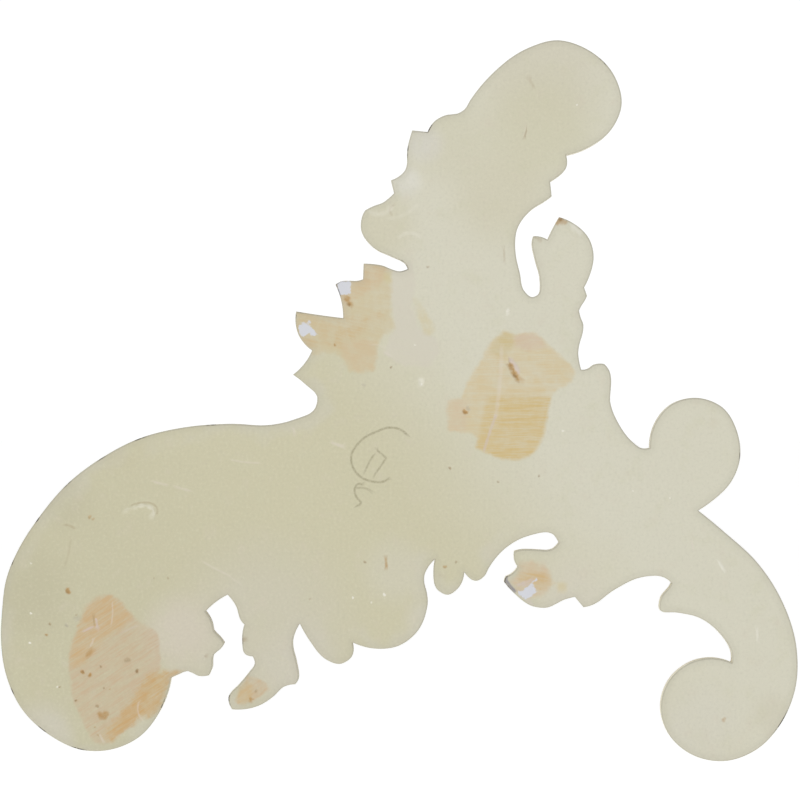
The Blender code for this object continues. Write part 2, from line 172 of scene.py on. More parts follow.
def square_to(line: np.ndarray) -> np.ndarray:
    """Unit vectors square to a line, to its left, one for each of its points."""
    ahead = np.gradient(line, axis=0)
    across = np.stack([-ahead[:, 1], ahead[:, 0]], axis=1)
    return across / np.linalg.norm(across, axis=1)[:, None]


class Carve(Enum):
    """What kind of ridge a crest belongs to, which says what fine work it carries."""

    SCROLL = 0
    BUTTON = 1
    FROND = 2


@dataclass(frozen=True)
class Crest:
    """The top line of one ridge of the carving.

    Attributes:
        line: The line's points (u, v) in mm.
        half_widths: Half the ridge's width at its first and last point, in mm.
        heights: Share of the full relief at its first and last point.
        power: Power of the parabola that the ridge is across its width.
        kind: The kind of ridge.
        swell: How far its width and its height swell between its ends, as shares.
    """

    line: np.ndarray
    half_widths: Point
    heights: Point
    power: float
    kind: Carve
    swell: Point = (0.0, 0.0)

    def section(self, share: np.ndarray) -> tuple[np.ndarray, np.ndarray]:
        """Half width and height share at each share of the crest's length."""
        bow = np.sin(np.pi * share)
        return (np.interp(share, (0.0, 1.0), self.half_widths) * (1.0 + self.swell[0] * bow),
                np.interp(share, (0.0, 1.0), self.heights) * (1.0 + self.swell[1] * bow))


@dataclass(frozen=True)
class Button:
    """A round button of the full height: its middle and radius in mm."""

    middle: Point
    radius: float
    power: float = 0.60

    def crests(self, spacing: float) -> list[Crest]:
        """The button's crest, a line of next to no length."""
        line = np.array([self.middle, (self.middle[0], self.middle[1] + 0.01)])
        return [Crest(line, (self.radius, self.radius), (1.0, 1.0), self.power, Carve.BUTTON)]


@dataclass(frozen=True)
class Scroll:
    """A stem that winds into a spiral round an eye.

    Attributes:
        stem: Knots of the stem.
        eye: Middle of the spiral.
        radii: First and last radius of the spiral.
        start: First angle of the spiral in degrees.
        turn: How far it winds in degrees, positive from u to v.
        half_widths: Half widths of the ridge at both ends.
        heights: Height shares at both ends.
        haste: Power that keeps the radius at first and tightens it towards the eye.
        knot_angle: Angle between the spiral's knots in degrees.
        eye_share: Radius of the button in the eye as a share of the last radius.
        power: Power of the ridge's section.
    """

    stem: tuple[Point, ...]
    eye: Point
    radii: Point
    start: float
    turn: float
    half_widths: Point
    heights: Point
    haste: float = 1.35
    knot_angle: float = 30.0
    eye_share: float = 1.35
    power: float = 0.75

    def crests(self, spacing: float) -> list[Crest]:
        """Work out the winding ridge and the button in its eye.

        The spiral's radius is r0 (r1 / r0)^(t^haste), where t is the share of the turn made.

        Args:
            spacing: Step along the lines in mm.

        Returns:
            The two crests.
        """
        turns = np.linspace(0.0, 1.0, math.ceil(abs(self.turn) / self.knot_angle) + 1)
        angles = np.radians(self.start + self.turn * turns)
        radii = self.radii[0] * (self.radii[1] / self.radii[0]) ** (turns**self.haste)
        spiral = np.stack([self.eye[0] + radii * np.cos(angles),
                           self.eye[1] + radii * np.sin(angles)], axis=1)
        line = smooth_through(np.vstack([self.stem, spiral]), spacing)
        winding = Crest(line, self.half_widths, self.heights, self.power, Carve.SCROLL)
        return Button(self.eye, self.radii[1] * self.eye_share).crests(spacing) + [winding]


@dataclass(frozen=True)
class Frond:
    """One finger of a leaf, from its root over its middle to its tip.

    Attributes:
        root, middle, tip: Knots of its crest.
        half_width: Half width that the shares below are of, in mm.
        height: Height share that the shares below are of.
        widths: Shares of the half width at root and tip.
        falls: Shares of the height at root and tip.
        swell: How far width and height swell between them.
        power: Power of the section.
    """

    root: Point
    middle: Point
    tip: Point
    half_width: float
    height: float
    widths: Point = (0.62, 0.50)
    falls: Point = (0.80, 0.60)
    swell: Point = (0.80, 0.45)
    power: float = 0.65

    def crests(self, spacing: float) -> list[Crest]:
        """The finger's single crest."""
        line = smooth_through((self.root, self.middle, self.tip), spacing)
        return [Crest(line, (self.half_width * self.widths[0], self.half_width * self.widths[1]),
                      (self.height * self.falls[0], self.height * self.falls[1]), self.power,
                      Carve.FROND, self.swell)]


@dataclass(frozen=True)
class Rim:
    """The second, inner moulding that runs beside a scroll."""

    knots: tuple[Point, ...]
    half_widths: Point
    height: float
    power: float = 0.75

    def crests(self, spacing: float) -> list[Crest]:
        """The moulding's single crest."""
        return [Crest(smooth_through(self.knots, spacing), self.half_widths,
                      (self.height, self.height), self.power, Carve.SCROLL)]


@dataclass(frozen=True)
class Rosette:
    """The flower where the arms meet.

    Attributes:
        middle: Its middle.
        petals: How many petals stand round it.
        reach: Distances of a petal's root, middle and tip from the middle, in mm.
        half_width: Half width of a petal in mm.
        height: Height share of a petal.
        button: Radius of the button in mm.
    """

    middle: Point
    petals: int
    reach: tuple[float, float, float]
    half_width: float
    height: float
    button: float

    def crests(self, spacing: float) -> list[Crest]:
        """The crests of the button and of every petal."""
        found = Button(self.middle, self.button).crests(spacing)
        for petal in range(self.petals):
            angle = 2.0 * math.pi * (petal + 0.5) / self.petals
            knots = [(self.middle[0] + reach * math.cos(angle),
                      self.middle[1] + reach * math.sin(angle)) for reach in self.reach]
            found += Frond(*knots, self.half_width, self.height).crests(spacing)
        return found


SCROLLS = (
    Scroll(((27.0, 16.0), (17.0, 45.0), (9.0, 78.0), (12.0, 106.0), (26.0, 131.0)),
           (56.8, 137.0), (19.0, 5.0), 148.0, -640.0, (8.0, 3.4), (0.8, 1.0)),
    Scroll(((22.0, 6.0), (-6.0, 11.0), (-32.0, 11.0), (-58.0, 8.5),
            (-84.0, 7.5), (-112.0, -3.5), (-133.0, -23.5), (-144.5, -46.0)),
           (-119.5, -74.0), (27.0, 6.0), 160.0, 680.0, (8.5, 3.8), (0.76, 0.98)),
    Scroll(((52.0, -6.0), (72.0, -11.0), (92.0, -18.0),
            (113.0, -30.0), (130.5, -46.0), (139.0, -66.0)),
           (119.8, -88.5), (20.0, 5.0), 6.0, -640.0, (7.4, 3.2), (0.76, 0.96)),
    Scroll(((54.0, 4.0), (76.0, -1.5), (97.0, -9.0)),
           (107.6, 5.6), (15.0, 4.5), -58.0, 590.0, (5.3, 3.0), (0.66, 0.88)),
)
UPPER_LEAF = (
    Frond((14.0, 14.0), (-16.0, 28.0), (-41.5, 34.5), 9.0, 0.60),
    Frond((15.0, 20.0), (-14.0, 42.0), (-40.0, 55.5), 9.5, 0.70),
    Frond((17.0, 28.0), (-6.0, 52.0), (-25.5, 67.0), 8.5, 0.66),
    Frond((17.0, 38.0), (2.0, 60.0), (-14.5, 74.0), 8.0, 0.62),
)
TOP_ARM_LEFT_LEAVES = (
    Frond((14.0, 56.0), (2.0, 76.0), (-14.5, 89.0), 9.0, 0.62),
    Frond((12.0, 76.0), (4.0, 94.0), (-4.5, 106.0), 8.0, 0.60),
    Frond((16.0, 96.0), (10.0, 112.0), (4.0, 124.0), 8.0, 0.56),
)
TOP_ARM_RIGHT_LEAVES = (
    Frond((31.0, 20.0), (31.0, 52.0), (37.0, 84.0), 9.5, 0.70),
    Frond((16.0, 58.0), (22.0, 76.0), (36.0, 90.0), 7.5, 0.60),
    Frond((12.0, 72.0), (26.0, 94.0), (52.5, 104.5), 8.5, 0.62),
    Frond((14.0, 90.0), (28.0, 108.0), (56.0, 115.0), 8.0, 0.56),
)
SIDE_LEAF = (
    Frond((40.0, 14.0), (56.0, 54.0), (57.0, 91.0), 9.0, 0.70),
    Frond((44.0, 14.0), (62.0, 46.0), (66.0, 79.0), 8.0, 0.62),
    Frond((48.0, 12.0), (60.0, 27.0), (73.0, 36.5), 8.0, 0.60),
    Frond((50.0, 9.0), (68.0, 13.0), (87.0, 4.5), 8.0, 0.56),
)
LOWER_LOBES = (
    Frond((26.0, -10.0), (24.0, -24.0), (25.5, -40.0), 7.0, 0.58),
    Frond((18.0, -6.0), (15.0, -26.0), (15.0, -45.0), 7.5, 0.60),
    Frond((6.0, -6.0), (-1.0, -36.0), (-5.0, -65.0), 11.0, 0.70),
    Frond((-8.0, -8.0), (-19.0, -40.0), (-27.0, -71.5), 10.5, 0.66),
)
TOE_AND_LEFT_LEAF = (
    Frond((-22.0, -9.0), (-43.0, -46.0), (-62.0, -88.5), 10.5, 0.72),
    Frond((-38.0, -10.0), (-54.0, -40.0), (-61.5, -66.0), 8.5, 0.60),
    Frond((-50.0, -12.0), (-66.0, -40.0), (-72.0, -66.0), 9.0, 0.66),
    Frond((-62.0, -14.0), (-77.0, -44.0), (-77.0, -76.0), 8.5, 0.62),
    Frond((-73.0, -15.0), (-88.0, -42.0), (-88.0, -77.0), 8.5, 0.60),
    Frond((-84.0, -16.0), (-100.0, -36.0), (-102.0, -56.0), 8.0, 0.56),
    Frond((-94.0, -20.0), (-111.0, -34.0), (-118.0, -47.0), 7.0, 0.52),
)
UNDER_LEAF = (
    Frond((102.0, -32.0), (72.0, -32.0), (41.0, -34.5), 7.5, 0.62),
    Frond((108.0, -37.0), (76.0, -39.0), (37.5, -43.5), 8.5, 0.66),
    Frond((104.0, -40.0), (78.0, -44.0), (53.0, -52.0), 8.0, 0.58),
    Frond((70.0, -16.0), (62.0, -22.0), (43.0, -28.5), 7.5, 0.54),
    Frond((122.0, -54.0), (110.0, -50.0), (96.0, -50.5), 7.0, 0.56),
)
INNER_RIM = Rim(((12.0, 0.0), (-36.0, -4.0), (-74.0, -6.0), (-104.0, -20.0), (-121.0, -42.0)),
                (5.8, 4.0), 0.62)
ROSETTE = Rosette((36.0, 4.0), 6, (4.5, 11.0, 18.0), 6.6, 0.88, 6.5)


@dataclass
class Carving:
    """The relief of the front, as a height over the plane of the back.

    Attributes:
        depth: Height of the highest crest in mm.
        edge: Height of the straight wall round the outline in mm.
        ground: Height of the ground between the ridges in mm.
        rounding: How far in from the outline the front rolls down to the wall, in mm.
        vein: Depth of the vein along a frond in mm.
        vein_width: How far from the crest it reaches in mm.
        furrow: Depth of the two fine lines beside the vein in mm.
        channel: Depth of the channel along a scroll in mm.
        spacing: Step along the crests in mm.
        row_step: Step along the rows of the mesh in mm.
        crest_rows: Distances of the mesh's rows from a crest in mm.
        foot_rows: Distances of the mesh's rows from a ridge's foot in mm, outwards.
        furrow_place: Place and width of a frond's furrow, as shares of the half width.
        fine_end: Share of a frond's length where its fine lines start to fade.
        channel_share: Half width of a scroll's channel as a share of the ridge's.
        run_in: Where the channel starts and where it is full, in mm along the scroll.
        groove_place: Place and width of a button's groove, as shares of its radius.
        least: Least height over the wall, in mm.
        ridges: The ridges.
    """

    depth: float = 18.0
    edge: float = 4.5
    ground: float = 6.3
    rounding: float = 4.5
    vein: float = 1.0
    vein_width: float = 0.8
    furrow: float = 0.35
    channel: float = 0.9
    spacing: float = 1.5
    row_step: float = 0.8
    crest_rows: tuple[float, ...] = (-1.5, -0.65, 0.0, 0.65, 1.5)
    foot_rows: tuple[float, ...] = (0.2, -0.55, -1.3, -2.1)
    furrow_place: Point = (0.48, 0.09)
    fine_end: float = 0.75
    channel_share: float = 0.5
    run_in: Point = (4.0, 20.0)
    groove_place: Point = (0.72, 0.07)
    least: float = 0.5
    ridges: Sequence[Union[Scroll, Frond, Rim, Rosette]] = (
        (ROSETTE,) + SCROLLS + UPPER_LEAF + TOP_ARM_LEFT_LEAVES + TOP_ARM_RIGHT_LEAVES
        + SIDE_LEAF + LOWER_LOBES + TOE_AND_LEFT_LEAF + UNDER_LEAF + (INNER_RIM,))

    def crests(self, spacing: float) -> list[Crest]:
        """The crests of all the ridges."""
        return [crest for ridge in self.ridges for crest in ridge.crests(spacing)]

    def mesh_points(self) -> np.ndarray:
        """Lay rows of points along each ridge, where the veins and the foot need a finer mesh.

        Some rows lie about the crest. More on each side follow the foot, which is where the
        ridge's own height has come down to the ground's.

        Returns:
            Points (u, v) in mm.
        """
        laid = []
        low = (self.ground - self.edge) / (self.depth - self.edge)
        for crest in self.crests(self.row_step):
            if crest.kind is Carve.BUTTON:
                continue
            across = square_to(crest.line)
            laid.extend(crest.line + off * across for off in self.crest_rows)
            steps = np.linalg.norm(np.diff(crest.line, axis=0), axis=1)
            along = np.concatenate([[0.0], np.cumsum(steps)])
            half, height = crest.section(along / along[-1])
            left = np.clip(low / np.maximum(height, low), 0.0, 1.0) ** (1.0 / crest.power)
            foot = half * np.sqrt(1.0 - left)
            for off in self.foot_rows:
                reach = np.maximum(foot + off, 0.0)[:, None] * across
                laid.extend((crest.line + reach, crest.line - reach))
        return np.vstack(laid)

    @staticmethod
    def _groove(q: np.ndarray, place: Point) -> np.ndarray:
        """Work out a fine line: one in its middle and the bell exp(-t^2) to both sides."""
        return np.exp(-((q - place[0]) / place[1]) ** 2)

    def heights(self, points: np.ndarray, gap: np.ndarray) -> np.ndarray:
        """Work out the height of the front.

        Across a ridge the height is a power of the parabola 1 - q^2, where q is the distance
        from the crest over the half width. The highest ridge at a point counts, over an even
        ground, and its fine lines are cut into it. Towards the outline the whole is
        multiplied by the quarter circle that takes it down to the wall.

        Args:
            points: Points (u, v) in mm.
            gap: Distance of each from the outline in mm.

        Returns:
            The height of each point in mm.
        """
        reach = self.depth - self.edge
        best = np.full(len(points), self.ground - self.edge)
        cut = np.zeros(len(points))
        for crest in self.crests(self.spacing):
            room = max(crest.half_widths) * (1.0 + crest.swell[0])
            near = np.flatnonzero(((points > crest.line.min(axis=0) - room)
                                   & (points < crest.line.max(axis=0) + room)).all(axis=1))
            distance, along = nearest_on_line(points[near], crest.line)
            share = along / max(along.max(), 1e-6)
            half, height = crest.section(share)
            q = distance / half
            rise = reach * height * np.clip(1.0 - q**2, 0.0, 1.0) ** crest.power
            if crest.kind is Carve.FROND:
                fine = self.vein * np.exp(-(distance / self.vein_width) ** 2)
                fine += self.furrow * self._groove(q, self.furrow_place)
                fine *= 1.0 - ease(share, self.fine_end, 1.0)
            elif crest.kind is Carve.SCROLL:
                bowl = np.clip(1.0 - (q / self.channel_share) ** 2, 0.0, 1.0)
                fine = self.channel * bowl * half / half.max()
                fine *= ease(along, *self.run_in)
            else:
                fine = 0.5 * self.channel * self._groove(q, self.groove_place)
            cut[near] = np.where(rise > best[near], fine, cut[near])
            best[near] = np.maximum(best[near], rise)
        inward = np.clip(gap / self.rounding, 0.0, 1.0)
        rolled = np.sqrt(1.0 - (1.0 - inward) ** 2)
        return self.edge + np.maximum(best - cut, self.least) * rolled


class Mark(Enum):
    """What a small mark on the back is made of, which is also its mesh attribute's name."""

    BROWN = "brown"
    GOLD = "gold"
    WHITE = "white"
    GREY = "grey"
    LILAC = "lilac"
    PENCIL = "pencil"
    CHALK = "chalk"


@dataclass(frozen=True)
class Stain:
    """A stained patch on the back, or a patch of painted shade.

    Attributes:
        name: Name of its mesh attribute.
        ring: Its outline.
        colour: Its colour.
        strength: Most that the colour counts, from 0 to 1.
        soft: Width of its fading edge in mm.
        ragged: How far its edge wanders in mm.
        streaks: How strongly it is streaked, from 0 to 1.
        blotch: How strongly it is clouded, from 0 to 1.
        lie: Direction of the streaks in degrees from u towards v.
    """

    name: str
    ring: tuple[Point, ...]
    colour: Tone
    strength: float
    soft: float = 1.2
    ragged: float = 1.6
    streaks: float = 0.35
    blotch: float = 0.28
    lie: float = 0.0


@dataclass(frozen=True)
class Tint:
    """A soft cloud where the cream differs a little: place, reach in mm, colour, strength."""

    at: Point
    reach: float
    colour: Tone
    strength: float


@dataclass(frozen=True)
class Dab:
    """A thin whitish film on the back, by its outline."""

    ring: tuple[Point, ...]


@dataclass(frozen=True)
class Stroke:
    """A line drawn, scratched or gouged on the back, or a line of painted highlight or painted
    shade beside a raised or sunk mark.

    Attributes:
        knots: Its knots (u, v) in mm.
        half_width: Half its width in mm.
        strength: How strongly it is coloured, from 0 to 1.
        mark: What it is coloured with.
        depth: How deep it goes in mm, below zero where it is raised.
        lumps: How far its width varies along it, as a share.
    """

    knots: tuple[Point, ...]
    half_width: float = 0.22
    strength: float = 1.0
    mark: Mark = Mark.CHALK
    depth: float = 0.03
    lumps: float = 0.15

    def cover(self, points: np.ndarray, step: float) -> tuple[np.ndarray, np.ndarray]:
        """Work out how strongly the line covers each point.

        Args:
            points: Points (u, v) in mm.
            step: Step along the line in mm.

        Returns:
            The cover, from 0 to 1, and the depth of the line there in mm.
        """
        distance, along = nearest_on_line(points, smooth_through(self.knots, step))
        wave = np.sin(LUMP_PACE * along + self.knots[0][0])
        half = self.half_width * (1.0 + self.lumps * wave)
        bowl = np.clip(1.0 - (distance / (LINE_BOWL * half)) ** 2, 0.0, 1.0) ** 2
        return self.strength * (1.0 - ease(distance / half, *LINE_FADE)), self.depth * bowl


@dataclass(frozen=True)
class Pit:
    """A pit, or a bump where the depth is negative.

    Attributes:
        at: Its middle (u, v) in mm.
        radius: Its radius in mm.
        depth: Its depth in mm.
        mark: What it is coloured with.
        strength: How strongly, from 0 to 1.
    """

    at: Point
    radius: float
    depth: float
    mark: Mark
    strength: float = 1.0

    def cover(self, points: np.ndarray, step: float) -> tuple[np.ndarray, np.ndarray]:
        """Work out how strongly the pit covers each point.

        Its edge is the radius times 1 + a sin(2w) + b sin(3w) round the angle w, so that no
        two pits are alike.

        Args:
            points: Points (u, v) in mm.
            step: Not used by a pit.

        Returns:
            The cover, from 0 to 1, and the depth of the pit's bowl there in mm.
        """
        reach = points - np.array(self.at)
        angle = np.arctan2(reach[:, 1], reach[:, 0])
        edge = self.radius * (1.0 + PIT_LOBES[0] * np.sin(2.0 * angle + self.at[0])
                              + PIT_LOBES[1] * np.sin(3.0 * angle + self.at[1]))
        share = np.linalg.norm(reach, axis=1) / edge
        bowl = np.clip(1.0 - share**2, 0.0, 1.0) ** 2
        return self.strength * (1.0 - ease(share, *PIT_FADE)), self.depth * bowl


@dataclass(frozen=True)
class Fleck:
    """A stretch of the arris with dark paint left on it, or with painted shade of a flank: place,
    reach in mm, strength.
    """

    at: Point
    reach: float
    strength: float = 1.0


STAINS = (
    Stain("stain_left", ((-120.8, -52.3), (-117.4, -48.9), (-112.2, -48.2), (-108.4, -50.1),
          (-104.6, -55.7), (-98.6, -59.8), (-94.1, -62.1), (-93.0, -75.3), (-97.1, -83.9),
          (-103.1, -97.1), (-109.2, -101.6), (-114.8, -104.6), (-118.6, -103.1), (-122.7, -95.2),
          (-125.7, -88.8), (-127.6, -77.9), (-127.2, -68.9), (-124.2, -59.8)),
          tone(199, 174, 142), 0.9, 1.6, 1.6, 0.45, 0.28, 33.0),
    Stain("stain_left_top", ((-121.2, -52.7), (-117.4, -49.3), (-112.2, -48.6), (-108.4, -50.4),
          (-104.3, -56.1), (-107.7, -60.6), (-114.4, -65.1), (-122.0, -74.2), (-127.2, -75.7),
          (-126.5, -67.0), (-123.8, -59.8)), tone(202, 170, 122), 0.88, 3.0, 1.8, 0.42, 0.28,
          33.0),
    Stain("stain_amber", ((-97.9, -78.3), (-92.6, -76.8), (-84.7, -76.8), (-89.2, -79.8),
          (-91.5, -86.2), (-94.1, -92.2), (-98.2, -93.7), (-102.8, -96.0), (-111.4, -103.1),
          (-115.2, -100.9), (-108.4, -93.7), (-103.9, -87.7)), tone(200, 161, 102), 0.92, 3.0,
          2.6, 0.28, 0.3, 33.0),
    Stain("stain_middle", ((36.5, 51.2), (39.9, 49.7), (46.7, 50.8), (49.7, 49.3), (54.2, 44.8),
          (61.0, 38.8), (63.2, 35.0), (61.0, 31.6), (56.8, 29.7), (53.5, 26.0), (52.3, 18.4),
          (50.4, 10.2), (47.4, 5.3), (42.2, 2.6), (35.8, 3.0), (30.1, 5.3), (25.2, 7.2),
          (26.7, 10.9), (23.3, 12.8), (15.1, 13.6), (15.1, 24.8), (19.9, 25.6), (22.2, 31.6),
          (27.5, 40.3), (31.2, 47.1)), tone(211, 192, 150), 0.92, 1.8, 1.2, 0.3, 0.3, 0.0),
    Stain("stain_band", ((29.4, 26.7), (53.8, 26.7), (52.3, 18.4), (50.4, 10.2), (47.4, 5.3),
          (42.2, 2.6), (35.8, 3.0), (30.1, 5.3), (25.2, 7.2), (26.7, 10.9)), tone(207, 181, 120),
          0.8, 2.2, 0.9, 0.42, 0.22, 0.0),
    Stain("stain_mustard", ((36.5, 51.2), (39.9, 49.7), (39.9, 45.5), (35.8, 41.0), (31.2, 42.9),
          (32.0, 47.4)), tone(200, 182, 130), 0.6, 2.6, 1.2, 0.1, 0.3, 0.0),
    Stain("stain_rose", ((39.9, 49.3), (46.7, 50.4), (50.1, 48.6), (52.3, 45.2), (45.9, 43.7),
          (40.3, 45.2)), tone(207, 183, 164), 0.6, 2.2, 1.0, 0.2, 0.3, 33.0),
    Stain("stain_rose_side", ((15.1, 24.8), (20.3, 25.6), (22.2, 24.5), (21.8, 13.6),
          (15.1, 13.6)), tone(209, 188, 166), 0.5, 3.2, 1.6, 0.3, 0.4, 0.0),
    Stain("stain_pale", ((-6.4, 77.2), (1.5, 77.2), (3.0, 68.5), (1.1, 60.6), (4.5, 51.6),
          (10.5, 48.6), (12.0, 43.3), (8.3, 38.0), (-1.5, 38.0), (-9.0, 42.5), (-7.5, 47.8),
          (-4.9, 52.3), (-6.4, 62.9)), tone(211, 205, 189), 0.75, 1.8, 1.2, 0.1, 0.2, 0.0),
    Stain("stain_leaf", ((-45.9, 61.0), (-27.5, 73.4), (-17.3, 78.7), (-9.0, 77.9), (-6.4, 73.4),
          (-6.4, 59.8), (-5.3, 51.9), (-10.2, 48.6), (-12.0, 43.7), (-12.8, 36.1), (-21.8, 35.8),
          (-25.6, 41.8), (-30.9, 43.3), (-36.1, 41.8), (-41.4, 47.1)), tone(206, 191, 153), 0.85,
          2.4, 2.2, 0.14, 0.35, -12.0),
    Stain("stain_leaf_top", ((-27.5, 73.4), (-17.3, 78.7), (-11.3, 78.7), (-7.5, 75.7),
          (-8.3, 71.1), (-13.6, 66.6), (-21.1, 62.9), (-24.1, 58.3), (-27.1, 56.1),
          (-29.4, 70.4)), tone(207, 179, 140), 0.62, 3.4, 2.4, 0.25, 0.4, -12.0),
    Stain("stain_leaf_smear", ((-42.9, 59.8), (-33.9, 60.6), (-24.5, 56.8), (-15.1, 56.1),
          (-10.5, 59.1), (-9.0, 56.1), (-16.6, 51.6), (-21.1, 47.1), (-25.6, 44.4), (-32.4, 47.1),
          (-38.4, 44.0), (-41.4, 48.6)), tone(203, 172, 124), 0.52, 3.2, 2.6, 0.4, 0.6, -12.0),
    Stain("stain_leaf_low", ((-24.8, 46.3), (-18.1, 47.8), (-12.4, 47.1), (-12.0, 41.8),
          (-12.8, 36.1), (-19.6, 35.8), (-24.1, 39.5)), tone(208, 184, 148), 0.6, 2.4, 2.0, 0.2,
          0.35, -12.0),
    Stain("stain_yellow", ((-9.0, 73.4), (-6.4, 73.4), (-6.0, 68.9), (-8.3, 68.9), (-9.4, 70.8)),
          tone(205, 196, 146), 0.4, 1.6, 1.0, 0.1, 0.3, 0.0),
    Stain("stain_under", ((38.4, -42.9), (41.4, -40.3), (41.8, -36.1), (45.9, -35.4),
          (51.2, -36.5), (53.8, -41.0), (53.1, -46.3), (50.4, -48.6), (45.9, -49.3),
          (41.0, -47.1)), tone(209, 184, 150), 0.78, 2.4, 1.6, 0.22, 0.3, -12.0),
    Stain("stain_under_gold", ((41.8, -40.3), (47.1, -39.5), (51.9, -40.3), (55.3, -43.3),
          (52.7, -45.9), (49.3, -46.3), (47.1, -44.0), (42.2, -43.3)), tone(205, 171, 108), 0.62,
          2.4, 1.4, 0.3, 0.4, -12.0),
    Stain("stain_under_side", ((55.3, -43.7), (59.8, -43.3), (59.5, -47.1), (56.1, -47.1)),
          tone(208, 191, 138), 0.5, 2.0, 1.2, 0.1, 0.3, -12.0),
    Stain("stain_toe", ((-60.6, -78.3), (-53.1, -81.3), (-52.3, -83.9), (-58.0, -88.1),
          (-63.6, -89.6), (-64.7, -88.1), (-62.9, -83.2)), tone(202, 175, 138), 0.85, 1.4, 1.2,
          0.3, 0.4, 33.0),
    Stain("stain_toe_gold", ((-64.0, -83.9), (-60.6, -79.8), (-58.7, -81.7), (-59.1, -87.7),
          (-61.7, -89.6), (-64.4, -88.8)), tone(204, 174, 116), 0.48, 2.0, 1.4, 0.2, 0.3, 33.0),
    Stain("stain_faint", ((2.3, 63.6), (4.5, 61.7), (10.5, 52.3), (8.3, 49.3), (6.0, 50.1),
          (3.8, 57.2)), tone(207, 192, 146), 0.5, 2.2, 1.4, 0.1, 0.6, 0.0),
    # Painted shade: this grey-violet band at the under leaf's tip stands for its rounded flank
    # turning away from the light.
    Stain("tip_flank_shade", ((35.8, -43.7), (35.4, -41.0), (37.3, -39.1), (37.6, -41.0), (37.5, -42.5),
          (38.8, -44.4), (41.0, -46.7), (39.9, -47.8), (37.3, -45.5)), tone(136, 132, 140), 0.95,
          0.7, 0.3, 0.1, 0.2, -12.0),
)
TINTS = (
    Tint((49.7, 149.4), 34.0, tone(208, 203, 183), 0.75),
    Tint((49.7, 127.6), 30.0, tone(205, 201, 172), 0.6),
    Tint((34.6, 102.4), 26.0, tone(207, 202, 177), 0.65),
    Tint((15.8, 123.1), 22.0, tone(206, 202, 177), 0.55),
    Tint((-9.8, 90.0), 18.0, tone(206, 201, 175), 0.65),
    Tint((6.0, 121.6), 10.0, tone(213, 210, 199), 0.75),
    Tint((-0.8, 107.3), 8.0, tone(217, 215, 206), 0.55),
    Tint((137.4, -93.0), 11.0, tone(202, 196, 174), 0.38),
    Tint((109.9, -97.1), 22.0, tone(213, 210, 195), 0.6),
    Tint((-53.8, -59.5), 44.0, tone(204, 199, 178), 0.85),
    Tint((-40.7, -75.7), 20.0, tone(206, 201, 185), 0.7),
    Tint((5.3, -58.3), 9.0, tone(211, 207, 192), 0.5),
    Tint((-85.8, -62.1), 19.0, tone(208, 200, 182), 0.9),
    Tint((-137.8, -99.7), 16.0, tone(204, 199, 181), 0.8),
    Tint((-97.1, -102.8), 12.0, tone(203, 199, 176), 0.7),
    Tint((-4.9, -39.5), 17.0, tone(208, 204, 184), 0.6),
    Tint((61.0, -47.1), 18.0, tone(212, 207, 190), 0.6),
    Tint((-144.5, -47.1), 24.0, tone(186, 181, 152), 0.42),
    Tint((-130.2, -12.4), 15.0, tone(188, 183, 156), 0.42),
    Tint((-108.4, 8.7), 15.0, tone(192, 183, 150), 0.22),
)
DABS = (
    Dab(((-27.1, 68.1), (-25.2, 70.0), (-21.5, 70.0), (-21.8, 64.7), (-26.0, 64.7))),
    Dab(((-41.4, 51.9), (-40.3, 54.2), (-38.8, 53.8), (-37.3, 55.3), (-36.3, 54.6), (-36.9, 52.3),
        (-35.4, 51.9), (-33.9, 50.1), (-35.0, 49.1), (-37.3, 50.1), (-39.5, 49.1),
        (-41.0, 50.1))),
    Dab(((41.2, -47.1), (44.3, -49.8), (47.3, -48.0), (48.9, -46.7), (48.7, -45.8), (47.4, -45.4),
        (47.7, -43.9), (48.9, -42.5), (48.7, -41.6), (47.1, -42.5), (46.3, -44.4), (44.8, -45.4),
        (43.3, -46.5))),
)
PENCIL = (
    Stroke(((-0.4, 12.2), (-3.0, 14.1), (-7.2, 14.8), (-12.0, 13.2), (-15.8, 11.4), (-19.4, 8.0),
           (-21.3, 4.5), (-21.2, 1.3), (-19.4, -2.2), (-16.7, -4.4), (-13.6, -5.4), (-10.3, -5.7),
           (-7.5, -4.6)), 0.36, 0.72, Mark.PENCIL, 0.02),
    Stroke(((-13.0, 4.3), (-14.5, 1.9), (-16.0, -1.3)), 0.32, 0.62, Mark.PENCIL, 0.02),
    Stroke(((-11.4, 6.1), (-9.8, 4.8), (-8.2, 3.4)), 0.32, 0.62, Mark.PENCIL, 0.02),
    Stroke(((-8.2, 3.4), (-10.1, 0.5), (-12.3, -2.5)), 0.32, 0.62, Mark.PENCIL, 0.02),
    Stroke(((-17.4, -6.5), (-19.0, -6.5), (-20.1, -8.9), (-19.5, -11.1), (-17.8, -13.7),
           (-19.3, -14.7)), 0.36, 0.7, Mark.PENCIL, 0.02),
    Stroke(((-19.7, -8.1), (-17.7, -7.8), (-14.5, -8.7)), 0.36, 0.5, Mark.PENCIL, 0.02),
)
